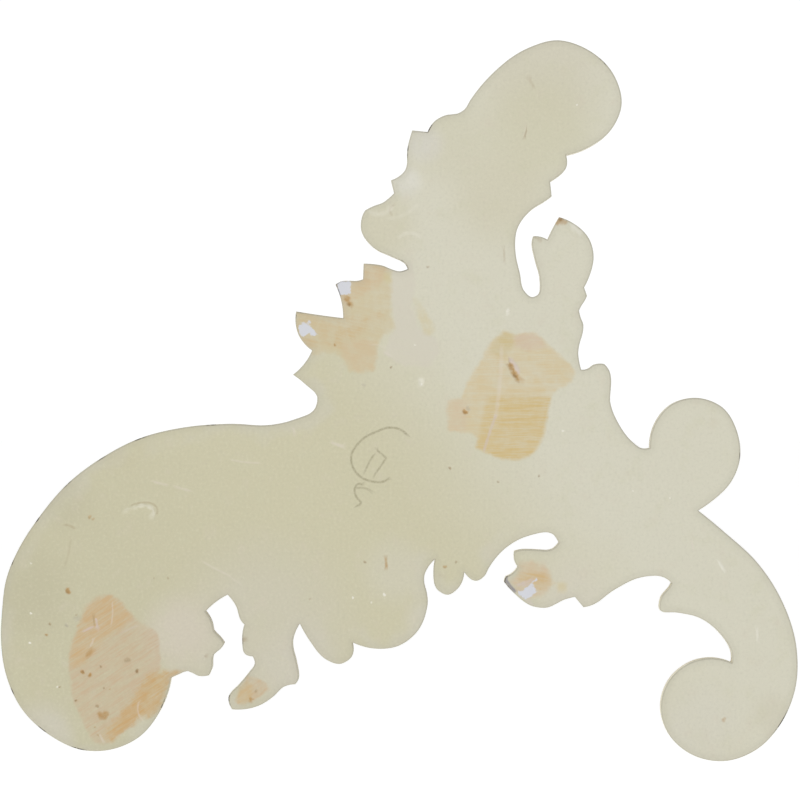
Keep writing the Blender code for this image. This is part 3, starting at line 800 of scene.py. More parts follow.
SCRATCHES = (
    Stroke(((35.2, 44.8), (34.6, 31.6), (33.0, 19.2)), 0.62, 0.38),
    Stroke(((33.0, 19.2), (30.7, 12.8), (28.8, 6.8)), 0.45, 0.65, Mark.LILAC),
    Stroke(((-121.8, -61.7), (-118.7, -60.2)), 0.4, 0.8, Mark.LILAC),
    Stroke(((-117.4, -57.2), (-117.0, -59.8)), 0.36, 0.85, Mark.LILAC),
    Stroke(((-118.3, -56.8), (-118.0, -59.5)), 0.3, 0.45, Mark.BROWN),
    Stroke(((-111.3, -51.6), (-111.2, -55.3), (-111.6, -58.7)), 0.26, 0.38),
    Stroke(((-101.3, -88.5), (-101.6, -92.2), (-100.1, -95.2)), 0.3, 0.35),
    Stroke(((-119.3, -67.0), (-118.6, -65.5)), 0.3, 0.45),
    Stroke(((41.6, -44.4), (44.0, -43.5), (46.3, -42.7)), 0.55, 0.75, Mark.LILAC),
    Stroke(((43.3, -44.6), (45.9, -43.9)), 0.45, 0.6, Mark.LILAC),
    Stroke(((41.0, -46.9), (44.0, -49.5), (47.1, -51.6)), 0.35, 0.6, Mark.LILAC),
    Stroke(((-13.9, 45.9), (-11.3, 45.9), (-9.0, 44.8)), 0.28, 0.25),
    Stroke(((-107.3, -62.1), (-102.0, -59.8)), 0.34, 0.3, Mark.LILAC),
    Stroke(((-115.9, -100.9), (-114.8, -103.1)), 0.34, 0.45),
    Stroke(((-76.8, -35.9), (-72.3, -38.4), (-67.1, -41.0)), 0.32, 0.4),
    Stroke(((-67.8, -40.8), (-63.2, -44.0)), 0.32, 0.25),
    Stroke(((-66.2, 2.6), (-62.1, 1.9), (-56.5, 1.5)), 0.32, 0.4),
    Stroke(((-95.6, -5.6), (-91.5, -6.6)), 0.4, 0.45),
    Stroke(((-87.3, -7.5), (-82.1, -9.0)), 0.4, 0.4),
    Stroke(((0.4, 106.5), (1.9, 109.5), (4.1, 106.1)), 1.5, 0.16, Mark.WHITE),
    Stroke(((-14.3, 96.0), (-10.2, 95.2), (-6.4, 97.5)), 0.8, 0.26, Mark.WHITE),
    Stroke(((-7.5, 93.4), (-2.3, 94.5), (3.0, 98.2)), 0.6, 0.16, Mark.WHITE),
    Stroke(((-3.0, 86.6), (0.8, 88.1), (3.8, 87.0)), 0.55, 0.26, Mark.WHITE),
    Stroke(((-6.0, 94.9), (-6.8, 97.1), (-5.3, 98.6)), 0.35, 0.2, Mark.BROWN),
    Stroke(((61.7, 91.1), (63.2, 89.2), (64.7, 88.5)), 1.0, 0.45, Mark.WHITE, 0.02, 0.3),
    Stroke(((56.1, 91.8), (57.6, 92.6), (59.1, 92.2)), 0.9, 0.7, Mark.GOLD, 0.02, 0.3),
    Stroke(((55.7, 93.4), (58.0, 93.2)), 0.6, 1.0, Mark.BROWN, 0.02, 0.3),
    Stroke(((47.1, 86.6), (50.1, 85.4)), 0.45, 0.35, Mark.BROWN),
    Stroke(((46.1, 145.3), (47.2, 143.4)), 0.45, 0.26, Mark.BROWN),
    Stroke(((44.6, 126.5), (44.1, 125.0)), 0.24, 0.6, Mark.BROWN),
    Stroke(((36.1, 81.7), (36.3, 77.9)), 0.35, 0.3, Mark.BROWN),
    Stroke(((-120.8, -71.0), (-119.1, -69.1)), 0.75, 0.6, Mark.GOLD, 0.15),
    Stroke(((-8.3, -35.2), (-8.1, -37.5)), 0.42, 0.75, Mark.GOLD, 0.1),
    Stroke(((117.1, -35.8), (118.6, -38.4)), 0.45, 0.6, Mark.WHITE, -0.1),
    Stroke(((131.4, -61.4), (131.6, -64.4)), 0.4, 0.45, Mark.WHITE, -0.08),
    Stroke(((-128.7, -21.8), (-127.2, -22.2), (-125.7, -23.0)), 0.4, 0.35, Mark.BROWN),
    Stroke(((-126.9, -27.5), (-127.6, -32.0), (-129.1, -36.9)), 0.35, 0.16, Mark.BROWN),
    # The blister: the two raised white strokes give its relief and paint its lit side as painted
    # highlight, and the brown line above them is painted shade.
    Stroke(((-106.5, -16.6), (-103.5, -15.4), (-102.4, -15.4)), 0.6, 0.22, Mark.WHITE, -0.12,
           0.4),
    Stroke(((-101.6, -14.9), (-98.2, -14.7), (-96.0, -16.2), (-96.0, -17.7)), 0.62, 0.4,
           Mark.WHITE, -0.14, 0.4),
    Stroke(((-103.9, -14.3), (-100.1, -13.4), (-96.7, -13.6), (-94.5, -15.4), (-94.5, -17.7)),
           0.3, 0.35, Mark.BROWN),
    Stroke(((-28.2, 9.0), (-25.2, 7.9)), 0.5, 0.6),
    Stroke(((-9.0, 43.3), (-6.4, 41.8)), 0.3, 0.4),
    Stroke(((106.9, -28.6), (107.3, -30.5)), 0.28, 0.5),
    Stroke(((-43.3, 15.1), (-42.9, 13.6)), 0.32, 0.5),
    Stroke(((38.8, 38.2), (40.1, 35.4), (41.5, 33.1)), 1.0, 0.95, Mark.GOLD, 0.45, 0.2),
    # Painted highlight: this pale stroke stands for the lit upper flank of the gouge on the line
    # above.
    Stroke(((38.8, 40.1), (40.5, 38.0), (41.6, 35.4)), 0.7, 0.8, Mark.LILAC, -0.08, 0.2),
    Stroke(((38.2, 39.9), (38.9, 37.6)), 0.35, 0.5, Mark.BROWN, 0.05),
    Stroke(((-23.0, 63.4), (-22.0, 61.4)), 0.95, 0.9, Mark.GOLD, 0.15, 0.3),
)
PITS = (
    Pit((-128.0, -46.7), 1.2, 0.5, Mark.GOLD), Pit((-119.8, -18.8), 0.8, 0.2, Mark.GOLD, 0.55),
    Pit((-118.5, -19.6), 0.65, 0.15, Mark.GOLD, 0.45),
    Pit((-95.6, -41.8), 0.45, 0.1, Mark.BROWN, 0.3),
    Pit((-90.3, -41.8), 0.55, 0.1, Mark.BROWN, 0.35),
    Pit((-134.8, -59.1), 0.6, 0.2, Mark.BROWN, 0.6),
    Pit((-136.1, -63.2), 0.6, 0.25, Mark.GOLD, 0.8),
    Pit((-132.0, -82.8), 0.45, 0.05, Mark.WHITE, 0.7),
    Pit((-131.1, -82.8), 0.45, 0.15, Mark.BROWN, 0.6),
    Pit((-122.5, -77.2), 0.85, 0.25, Mark.GOLD), Pit((-122.3, -77.0), 0.5, 0.1, Mark.BROWN, 0.8),
    Pit((-119.7, -78.3), 0.8, 0.25, Mark.GOLD), Pit((-61.7, -65.1), 1.1, 0.1, Mark.BROWN, 0.45),
    Pit((-102.0, -76.8), 0.8, 0.3, Mark.BROWN), Pit((-105.6, -72.6), 1.2, 0.2, Mark.BROWN, 0.5),
    Pit((-115.6, -75.1), 0.5, 0.2, Mark.BROWN, 0.7),
    Pit((-125.0, -87.9), 0.55, 0.25, Mark.BROWN, 0.8),
    Pit((-116.9, -90.0), 0.75, 0.2, Mark.BROWN, 0.6),
    Pit((-114.4, -83.2), 0.45, 0.2, Mark.BROWN, 0.6),
    Pit((-115.6, -93.5), 1.5, 0.15, Mark.GOLD, 0.85),
    Pit((-113.9, -93.4), 1.6, 0.15, Mark.GOLD, 0.85),
    Pit((-124.6, -57.2), 1.4, -0.2, Mark.GREY, 0.5),
    Pit((-124.8, -55.7), 0.45, 0.1, Mark.BROWN, 0.4),
    Pit((-128.5, -59.5), 0.9, 0.25, Mark.GREY, 0.6),
    Pit((-117.8, -97.9), 0.4, 0.1, Mark.GOLD, 0.5),
    Pit((-116.7, -100.9), 0.45, 0.1, Mark.GOLD, 0.4),
    Pit((-112.2, -83.6), 0.4, 0.1, Mark.GOLD, 0.4), Pit((-141.9, -55.1), 0.5, -0.05, Mark.WHITE),
    Pit((-142.3, -66.2), 0.5, -0.05, Mark.WHITE),
    Pit((-141.9, -36.3), 0.45, -0.05, Mark.WHITE, 0.7),
    Pit((-20.7, -49.2), 0.5, -0.05, Mark.WHITE), Pit((-13.8, -51.0), 0.4, -0.05, Mark.WHITE, 0.7),
    Pit((-8.9, -48.1), 0.65, -0.05, Mark.WHITE), Pit((58.3, 13.6), 0.5, -0.05, Mark.WHITE),
    Pit((84.7, -9.0), 0.4, -0.05, Mark.WHITE, 0.7),
    Pit((98.6, -11.7), 0.4, -0.05, Mark.WHITE, 0.7),
    Pit((63.6, 136.3), 0.4, -0.05, Mark.WHITE, 0.8),
    Pit((2.6, 45.9), 0.45, -0.05, Mark.WHITE, 0.6), Pit((4.9, 32.0), 1.6, 0.25, Mark.WHITE, 0.45),
    Pit((5.1, 31.1), 0.45, -0.02, Mark.WHITE), Pit((-16.2, -35.8), 0.6, 0.2, Mark.BROWN, 0.6),
    Pit((-36.9, -49.7), 0.5, 0.1, Mark.BROWN, 0.35),
    Pit((13.9, -37.6), 0.75, 0.2, Mark.GOLD, 0.7),
    Pit((18.1, -35.8), 0.55, 0.15, Mark.BROWN, 0.5),
    Pit((11.7, -40.7), 0.6, 0.2, Mark.BROWN, 0.5), Pit((15.8, -0.4), 0.65, 0.25, Mark.BROWN, 0.6),
    Pit((49.3, -3.4), 0.5, 0.2, Mark.BROWN, 0.5), Pit((33.9, -5.6), 0.5, 0.2, Mark.BROWN, 0.5),
    Pit((21.5, 20.7), 1.1, 0.45, Mark.GOLD), Pit((22.6, 22.0), 0.9, 0.1, Mark.GREY, 0.7),
    Pit((118.9, -95.1), 0.95, 0.08, Mark.GOLD, 0.5), Pit((59.5, 93.7), 0.4, 0.1, Mark.BROWN, 0.5),
    Pit((37.6, 58.9), 0.9, -0.08, Mark.WHITE, 0.55),
    Pit((37.5, 57.6), 0.8, -0.06, Mark.WHITE, 0.4), Pit((-22.0, 61.2), 0.45, 0.2, Mark.BROWN),
    Pit((40.3, 34.3), 0.7, 0.1, Mark.BROWN, 0.6), Pit((-27.5, 45.9), 0.55, 0.15, Mark.GOLD, 0.8),
    Pit((-6.4, 37.5), 0.5, 0.2, Mark.BROWN, 0.6), Pit((7.5, 75.3), 0.6, 0.15, Mark.BROWN, 0.4),
    Pit((-16.6, 30.9), 0.8, 0.1, Mark.GREY, 0.4), Pit((-57.2, -84.3), 0.7, 0.15, Mark.BROWN, 0.4),
    Pit((-59.1, -87.5), 0.85, 0.15, Mark.GOLD, 0.8),
    Pit((-76.0, -71.1), 0.65, 0.15, Mark.BROWN, 0.4),
)
FLECKS = (
    Fleck((-139.1, -19.6), 2.2, 1.4), Fleck((-128.0, -6.8), 3.0, 0.6),
    Fleck((-150.6, -36.1), 3.5), Fleck((-148.3, -84.3), 2.0, 1.3),
    Fleck((-137.4, -98.6), 3.0, 0.9), Fleck((-123.8, -105.8), 3.5),
    Fleck((-115.2, 3.4), 2.5, 0.8), Fleck((-100.9, 10.9), 3.0), Fleck((-74.2, 15.8), 3.0, 0.8),
    Fleck((8.7, 127.2), 2.6, 1.2), Fleck((0.4, 118.6), 3.0, 0.9), Fleck((141.2, -96.0), 6.0),
    # Fleck((36.9, -43.3)) is painted shade on the under leaf's tip flank, in the dark paint
    # colour; the other flecks are paint.
    Fleck((124.2, 4.5), 2.5, 0.7), Fleck((73.8, 152.8), 2.5, 0.7), Fleck((36.9, -43.3), 4.0, 0.8),
    Fleck((-92.6, -89.2), 2.5, 0.9), Fleck((-67.4, -87.7), 3.0, 1.0),
    Fleck((-26.3, 66.6), 4.0, 0.8), Fleck((-41.8, 58.3), 3.0, 0.7), Fleck((-1.5, 75.7), 3.5, 0.6),
    Fleck((-62.5, -65.1), 2.5, 0.5),
)


@dataclass
class BackMarks:
    """Everything that time and handling left on the flat back, with a few patches and strokes of
    painted shade and painted highlight.

    Attributes:
        stains, dabs, strokes, pits, flecks: The marks by kind.
        fine: Step of the mesh along the drawn lines in mm.
        line_rows: Places of the rows along a line, as shares of its half width.
        pit_rings: Radii of the rings round a pit, as shares of its radius.
        ring_points: How many points a ring has.
    """

    stains: Sequence[Stain] = STAINS
    dabs: Sequence[Dab] = DABS
    strokes: Sequence[Stroke] = PENCIL + SCRATCHES
    pits: Sequence[Pit] = PITS
    flecks: Sequence[Fleck] = FLECKS
    fine: float = 0.45
    line_rows: tuple[float, ...] = (-1.7, -0.8, 0.0, 0.8, 1.7)
    pit_rings: tuple[float, ...] = (0.4, 0.75, 1.0, 1.4)
    ring_points: int = 10

    def mesh_points(self) -> np.ndarray:
        """Lay points where the marks need a finer mesh.

        A drawn line gets rows along it, and a pit gets rings round its middle.

        Returns:
            Points (u, v) in mm.
        """
        laid = []
        for stroke in self.strokes:
            line = smooth_through(stroke.knots, self.fine)
            across = square_to(line)
            laid.extend(line + share * stroke.half_width * across for share in self.line_rows)
        angles = np.radians(np.arange(0.0, 360.0, 360.0 / self.ring_points))
        circle = np.stack([np.cos(angles), np.sin(angles)], axis=1)
        for pit in self.pits:
            laid.append(np.array([pit.at]))
            laid.extend(np.array(pit.at) + circle * pit.radius * share
                        for share in self.pit_rings)
        return np.vstack(laid)

    def dips(self, points: np.ndarray) -> np.ndarray:
        """Work out how deep the marks go into the back.

        A pit is the bowl depth (1 - (r/R)^2)^2, and a line is the same bowl carried along it.

        Args:
            points: Points (u, v) in mm.

        Returns:
            Depth below the flat back in mm, below zero where the back is raised.
        """
        return sum(mark.cover(points, self.fine)[1] for mark in (*self.pits, *self.strokes))

    def fields(self, points: np.ndarray) -> dict[str, np.ndarray]:
        """Work out what the finish of the back reads at each point.

        Args:
            points: Points (u, v) in mm.

        Returns:
            One array for each mesh attribute, by name.
        """
        made = {stain.name: depth_inside(points, np.array(stain.ring)) for stain in self.stains}
        made["dab"] = np.max([depth_inside(points, np.array(dab.ring)) for dab in self.dabs],
                             axis=0)
        for mark in Mark:
            made[mark.value] = np.max([one.cover(points, self.fine)[0] for one
                                       in (*self.pits, *self.strokes) if one.mark is mark],
                                      axis=0)
        fleck = np.zeros(len(points))
        for one in self.flecks:
            distance = np.linalg.norm(points - np.array(one.at), axis=1)
            cover = 1.0 - ease(distance / one.reach, *FLECK_FADE)
            fleck = np.maximum(fleck, one.strength * cover)
        made["fleck"] = fleck
        return made


@dataclass(frozen=True)
class Veil:
    """A colour laid over another in clouds.

    Attributes:
        colour: The colour.
        size, detail, roughness, shift: Those of the noise that makes the clouds.
        low, high: Values of the noise where the colour starts and where it is strongest.
        most: Its greatest share, from 0 to 1.
    """

    colour: Tone
    size: float
    detail: float
    roughness: float
    shift: float
    low: float
    high: float
    most: float = 1.0


class Graph:
    """Adds the nodes of one material and joins them."""

    def __init__(self, name: str) -> None:
        """Start a material with its shader.

        Args:
            name: The material's name.
        """
        self.material = bpy.data.materials.new(name)
        self.material.use_nodes = True
        self.tree = self.material.node_tree
        self.shader = self.tree.nodes["Principled BSDF"]
        self.place = self.tree.nodes.new("ShaderNodeTexCoord").outputs["Object"]
        self.noises: dict[tuple[float, ...], Socket] = {}

    def _feed(self, socket: Socket, value: Union[Socket, float, Sequence[float]]) -> None:
        """Link a socket, or set the value on it."""
        if isinstance(value, bpy.types.NodeSocket):
            self.tree.links.new(value, socket)
        elif isinstance(value, (tuple, list)) and len(value) == 3 and socket.type == "RGBA":
            socket.default_value = (*value, 1.0)
        else:
            socket.default_value = value

    def attribute(self, name: str) -> Socket:
        """Read a mesh attribute."""
        node = self.tree.nodes.new("ShaderNodeAttribute")
        node.attribute_name = name
        return node.outputs["Fac"]

    def calc(self, operation: str, first: Union[Socket, float],
             second: Union[Socket, float] = 0.0, clamp: bool = False) -> Socket:
        """Do one sum.

        Args:
            operation: Name of the Math node's operation.
            first: Its first value.
            second: Its second value.
            clamp: Whether the result is kept from 0 to 1.

        Returns:
            The result.
        """
        node = self.tree.nodes.new("ShaderNodeMath")
        node.operation, node.use_clamp = operation, clamp
        self._feed(node.inputs[0], first)
        self._feed(node.inputs[1], second)
        return node.outputs[0]

    def between(self, value: Socket, low: float, high: float,
                first: float = 0.0, last: float = 1.0) -> Socket:
        """Take a value from first at low to last at high, easing in and out.

        Args:
            value: The value to read.
            low: Where the change starts.
            high: Where it ends.
            first: Result at low.
            last: Result at high.

        Returns:
            The result.
        """
        node = self.tree.nodes.new("ShaderNodeMapRange")
        node.interpolation_type = "SMOOTHSTEP"
        self._feed(node.inputs["Value"], value)
        if low > high:
            low, high, first, last = high, low, last, first
        for name, number in (("From Min", low), ("From Max", high),
                             ("To Min", first), ("To Max", last)):
            node.inputs[name].default_value = number
        return node.outputs["Result"]

    def spread(self, noise: Socket, reach: float) -> Socket:
        """Turn a pattern about 0.5 into one that runs from minus to plus the reach."""
        return self.calc("MULTIPLY", self.calc("SUBTRACT", noise, 0.5), 2.0 * reach)

    def around(self, at: Point, full: float, none: float, share: float) -> Socket:
        """Make a soft round cloud on the plane of the back.

        Args:
            at: Its middle (u, v) in mm.
            full: Distance up to which it is full, in mm.
            none: Distance at which it ends, in mm.
            share: Its value in the middle.

        Returns:
            Its value.
        """
        flat = self.tree.nodes.new("ShaderNodeVectorMath")
        flat.operation = "MULTIPLY"
        flat.inputs[1].default_value = (1.0, 0.0, 1.0)
        self._feed(flat.inputs[0], self.place)
        away = self.tree.nodes.new("ShaderNodeVectorMath")
        away.operation = "DISTANCE"
        away.inputs[1].default_value = (-at[0] * MM, 0.0, at[1] * MM)
        self._feed(away.inputs[0], flat.outputs["Vector"])
        return self.between(away.outputs["Value"], none * MM, full * MM, 0.0, share)

    def noise(self, size: float, detail: float = 3.0, roughness: float = 0.55,
              stretch: float = 1.0, lie: float = 0.0, shift: float = 0.0) -> Socket:
        """Make a cloudy pattern fixed to the object.

        Args:
            size: Width of a cloud in mm.
            detail: Octaves of finer clouds.
            roughness: How strongly the finer clouds count.
            stretch: How many times longer than wide a cloud is.
            lie: Direction of its length in degrees from u towards v.
            shift: Moves the pattern, in metres, so that no two are alike.

        Returns:
            A value about 0.5, from 0 to 1.
        """
        key = (size, detail, roughness, stretch, lie, shift)
        if key not in self.noises:
            self.noises[key] = self._new_noise(*key)
        return self.noises[key]

    def _new_noise(self, size: float, detail: float, roughness: float, stretch: float,
                   lie: float, shift: float) -> Socket:
        """Add the nodes of a cloudy pattern that isn't there yet."""
        turned = self.tree.nodes.new("ShaderNodeMapping")
        turned.inputs["Location"].default_value = (shift, 0.0, shift * 0.7)
        turned.inputs["Rotation"].default_value = (0.0, math.radians(-lie), 0.0)
        self._feed(turned.inputs["Vector"], self.place)
        scaled = self.tree.nodes.new("ShaderNodeVectorMath")
        scaled.operation = "MULTIPLY"
        scaled.inputs[1].default_value = (1.0 / stretch, 1.0, 1.0)
        self._feed(scaled.inputs[0], turned.outputs["Vector"])
        node = self.tree.nodes.new("ShaderNodeTexNoise")
        node.inputs["Scale"].default_value = 1000.0 / size
        node.inputs["Detail"].default_value = detail
        node.inputs["Roughness"].default_value = roughness
        self._feed(node.inputs["Vector"], scaled.outputs["Vector"])
        return node.outputs["Fac"]

    def mix(self, under: Union[Socket, Tone], over: Union[Socket, Tone],
            share: Union[Socket, float]) -> Socket:
        """Lay one colour over another.

        Args:
            under: The colour below.
            over: The colour on top.
            share: How much of the top colour shows, from 0 to 1.

        Returns:
            The mixed colour.
        """
        node = self.tree.nodes.new("ShaderNodeMix")
        node.data_type = "RGBA"
        self._feed(node.inputs[0], share)
        self._feed(node.inputs[6], under)
        self._feed(node.inputs[7], over)
        return node.outputs[2]

    def veil(self, under: Union[Socket, Tone], veil: Veil) -> Socket:
        """Lay a veil of colour over a colour."""
        clouds = self.noise(veil.size, veil.detail, veil.roughness, shift=veil.shift)
        return self.mix(under, veil.colour,
                        self.between(clouds, veil.low, veil.high, 0.0, veil.most))

    def bump(self, height: Socket, distance: float, under: Optional[Socket] = None) -> Socket:
        """Raise the surface by a pattern.

        Args:
            height: The pattern.
            distance: Height in mm where the pattern is one.
            under: A normal that is already raised.

        Returns:
            The raised normal.
        """
        node = self.tree.nodes.new("ShaderNodeBump")
        node.inputs["Distance"].default_value = distance * MM
        self._feed(node.inputs["Height"], height)
        if under is not None:
            self._feed(node.inputs["Normal"], under)
        return node.outputs["Normal"]

    def finish(self, colour: Socket, roughness: Union[Socket, float],
               normal: Socket) -> bpy.types.Material:
        """Join the shader up.

        Args:
            colour: Base colour.
            roughness: Roughness.
            normal: Normal.

        Returns:
            The finished material.
        """
        self._feed(self.shader.inputs["Base Color"], colour)
        self._feed(self.shader.inputs["Roughness"], roughness)
        self._feed(self.shader.inputs["Normal"], normal)
        return self.material


@dataclass(frozen=True)
class Paint:
    """What a kind of mark looks like: its colour and how strongly it counts."""

    mark: Mark
    colour: Tone
    share: float


@dataclass(frozen=True)
class RawBack:
    """The bare back of the casting: cream, yellower and duller to one side, stained by age.

    Attributes:
        dull, middle, pale: The cream from one side of the back to the other.
        border: The paler cream near the outline.
        arris_shade: Painted shade, the dark line where the worn edge turns away from the light.
        film: The whitish film.
        arris_paint_and_shade: The dark paint left on the arris, also used for painted shade at the
            under leaf's tip.
        lean: How much v counts against u in the line that the cream's changes follow.
        to_middle, to_pale: Where each change starts and ends on that line, in m.
        border_band: Distances from the outline where the border starts and is full, in mm.
        veils: The olive and the rose mottle, and the dark and the pale grain.
        tints: The soft clouds.
        paints: What each kind of mark looks like.
    """

    dull: Tone = tone(198, 193, 163)
    middle: Tone = tone(204, 199, 169)
    pale: Tone = tone(214, 211, 192)
    border: Tone = tone(205, 201, 183)
    # Colour of the painted shade along the arris.
    arris_shade: Tone = tone(174, 170, 152)
    film: Tone = tone(214, 217, 226)
    arris_paint_and_shade: Tone = tone(62, 54, 40)
    lean: float = 0.8
    to_middle: Point = (-0.170, -0.030)
    to_pale: Point = (-0.015, 0.065)
    border_band: Point = (7.5, 1.5)
    veils: Sequence[Veil] = (
        Veil(tone(203, 201, 172), 9.0, 4.0, 0.65, 1.0, 0.50, 0.74, 0.30),
        Veil(tone(209, 200, 181), 7.0, 3.0, 0.55, 2.0, 0.54, 0.78, 0.35),
        Veil(tone(174, 170, 152), 1.1, 3.0, 0.60, 0.17, 0.50, 0.72, 0.15),
        Veil(tone(230, 226, 206), 1.1, 3.0, 0.60, 0.17, 0.50, 0.28, 0.17))
    tints: Sequence[Tint] = TINTS
    paints: Sequence[Paint] = (
        Paint(Mark.CHALK, tone(222, 212, 200), 0.95), Paint(Mark.GOLD, tone(176, 134, 70), 0.90),
        Paint(Mark.BROWN, tone(150, 120, 78), 0.85), Paint(Mark.GREY, tone(178, 172, 155), 0.80),
        Paint(Mark.WHITE, tone(240, 237, 226), 0.88), Paint(Mark.LILAC, tone(208, 194, 190), 0.85),
        Paint(Mark.PENCIL, tone(146, 138, 108), 0.95))

    def _ground(self, graph: Graph) -> Socket:
        """Work out the unstained cream.

        Two slow changes of colour follow the slanting line u + lean v, with a patchy paler
        border between them, and soft clouds, a mottle of olive and rose and a fine grain lie
        over them.

        Args:
            graph: The material's nodes.

        Returns:
            The colour.
        """
        split = graph.tree.nodes.new("ShaderNodeSeparateXYZ")
        graph.tree.links.new(graph.place, split.inputs[0])
        slant = graph.calc("SUBTRACT", graph.calc("MULTIPLY", split.outputs["Z"], self.lean),
                           split.outputs["X"])
        slant = graph.calc("ADD", slant, graph.spread(graph.noise(50.0, 2.0), 0.012))
        colour = graph.mix(self.dull, self.middle, graph.between(slant, *self.to_middle))
        gap = graph.calc("ADD", graph.attribute("gap"), graph.spread(graph.noise(14.0, 3.0), 9.0))
        patchy = graph.between(graph.noise(24.0, 2.0, shift=0.85), 0.38, 0.56, 0.05, 0.55)
        near = graph.between(gap, *self.border_band)
        colour = graph.mix(colour, self.border, graph.calc("MULTIPLY", near, patchy))
        colour = graph.mix(colour, self.pale, graph.between(slant, *self.to_pale))
        for tint in self.tints:
            cover = graph.around(tint.at, 0.25 * tint.reach, tint.reach, tint.strength)
            colour = graph.mix(colour, tint.colour, cover)
        for veil in self.veils:
            colour = graph.veil(colour, veil)
        return colour

    def _stained(self, graph: Graph, colour: Socket, stain: Stain) -> Socket:
        """Lay one stain over the colour.

        Its edge follows the distance from its outline, pushed about by a noise, and inside it
        hairlines and longer clouds along its streaks let the colour below through.

        Args:
            graph: The material's nodes.
            colour: The colour below.
            stain: The stain.

        Returns:
            The stained colour.
        """
        wander = graph.spread(graph.noise(3.2, 5.0, 0.65, shift=0.31), stain.ragged)
        depth = graph.calc("ADD", graph.attribute(stain.name), wander)
        cover = graph.between(depth, -0.5 * stain.soft, 0.5 * stain.soft, 0.0, stain.strength)
        broad = graph.noise(1.8, 3.0, 0.6, 12.0, stain.lie, 0.42)
        hair = graph.noise(0.6, 2.0, 0.6, 14.0, stain.lie, 0.53)
        cloud = graph.noise(5.0, 4.0, 0.6, shift=0.64)
        shade = graph.calc("MULTIPLY", graph.between(broad, 0.36, 0.64, 1.0 - stain.streaks, 1.0),
                           graph.between(hair, 0.36, 0.58, 1.0 - stain.streaks, 1.0))
        shade = graph.calc("MULTIPLY", shade,
                           graph.between(cloud, 0.36, 0.60, 1.0 - stain.blotch, 1.0))
        return graph.mix(colour, stain.colour, graph.calc("MULTIPLY", cover, shade))

    def _marked(self, graph: Graph, colour: Socket) -> Socket:
        """Lay the pits, strokes, dabs and flecks over the colour, each with a ragged edge."""
        crumbs = graph.noise(1.0, 3.0, 0.65, shift=3.0)
        for paint in self.paints:
            if paint.mark is Mark.PENCIL:
                grain = graph.between(graph.noise(0.55, 2.0, shift=4.0), 0.32, 0.60, 0.45, 1.0)
            else:
                grain = graph.between(crumbs, 0.25, 0.60, 0.60, 1.0)
            cover = graph.calc("MULTIPLY", graph.attribute(paint.mark.value), grain)
            colour = graph.mix(colour, paint.colour, graph.calc("MULTIPLY", cover, paint.share))
        wander = graph.spread(graph.noise(2.2, 4.0, 0.65, shift=5.0), 1.5)
        dab = graph.between(graph.calc("ADD", graph.attribute("dab"), wander), -0.3, 0.3, 0, 0.9)
        colour = graph.mix(colour, self.film, dab)
        # Dark paint on the arris, and at the under leaf's tip a fleck of painted shade.
        near = graph.between(graph.attribute("gap"), 0.55, 0.20)
        broken = graph.between(graph.noise(1.4, 3.0, 0.6, shift=6.0), 0.38, 0.52)
        left = graph.calc("MULTIPLY", graph.calc("MULTIPLY", graph.attribute("fleck"), near),
                          broken, True)
        return graph.mix(colour, self.arris_paint_and_shade, left)

    def make(self, stains: Sequence[Stain]) -> bpy.types.Material:
        """Build the finish.

        Args:
            stains: The stained patches.

        Returns:
            The material.
        """
        graph = Graph("raw_back")
        colour = self._ground(graph)
        for stain in stains:
            colour = self._stained(graph, colour, stain)
        gap = graph.attribute("gap")
        # Painted shade: a faint darkening over the last 3.4 mm before the outline and a darker
        # line in the last 0.75 mm, for the worn edge turning away from the light.
        band = graph.between(gap, 3.4, 0.9, 0.0, 0.14)
        arris_shade = graph.between(gap, 0.75, 0.20, 0.0, 0.45)
        colour = graph.mix(colour, self.arris_shade, graph.calc("ADD", band, arris_shade, True))
        colour = self._marked(graph, colour)
        swell = graph.bump(graph.noise(14.0, 2.0, 0.5, shift=7.0), 0.25)
        normal = graph.bump(graph.noise(0.8, 3.0, 0.6, shift=8.0), 0.012, swell)
        gloss = graph.between(graph.noise(6.0, 3.0, shift=9.0), 0.35, 0.70, 0.46, 0.62)
        return graph.finish(colour, gloss, normal)


@dataclass(frozen=True)
class AntiquedFront:
    """The carved front: cream, with a brown wash left in the hollows and rubbed crests.

    Attributes:
        cream: The ground.
        rubbed: The paler cream of the mottle and of the rubbed crests.
        wash: The wash.
        mottle: The mottle of the ground.
        specks: The dark specks.
    """

    cream: Tone = tone(205, 198, 172)
    rubbed: Tone = tone(224, 218, 198)
    wash: Tone = tone(118, 98, 66)
    mottle: Veil = Veil(rubbed, 12.0, 3.0, 0.55, 1.0, 0.35, 0.70)
    specks: Veil = Veil(tone(70, 58, 40), 1.6, 2.0, 0.50, 3.0, 0.70, 0.76, 0.7)

    def make(self) -> bpy.types.Material:
        """Build the finish.

        Returns:
            The material.
        """
        graph = Graph("antiqued_front")
        colour = graph.veil(self.cream, self.mottle)
        hollow = graph.attribute("hollow")
        wander = graph.spread(graph.noise(3.0, 4.0, 0.6, shift=2.0), 0.25)
        sunk = graph.calc("ADD", hollow, wander)
        colour = graph.mix(colour, self.wash, graph.between(sunk, 0.05, 0.80, 0.0, 0.62))
        colour = graph.mix(colour, self.rubbed, graph.between(sunk, -0.15, -0.65, 0.0, 0.7))
        colour = graph.veil(colour, self.specks)
        normal = graph.bump(graph.noise(1.2, 4.0, 0.6, shift=4.0), 0.05)
        gloss = graph.between(hollow, -0.3, 0.6, 0.42, 0.72)
        return graph.finish(colour, gloss, normal)


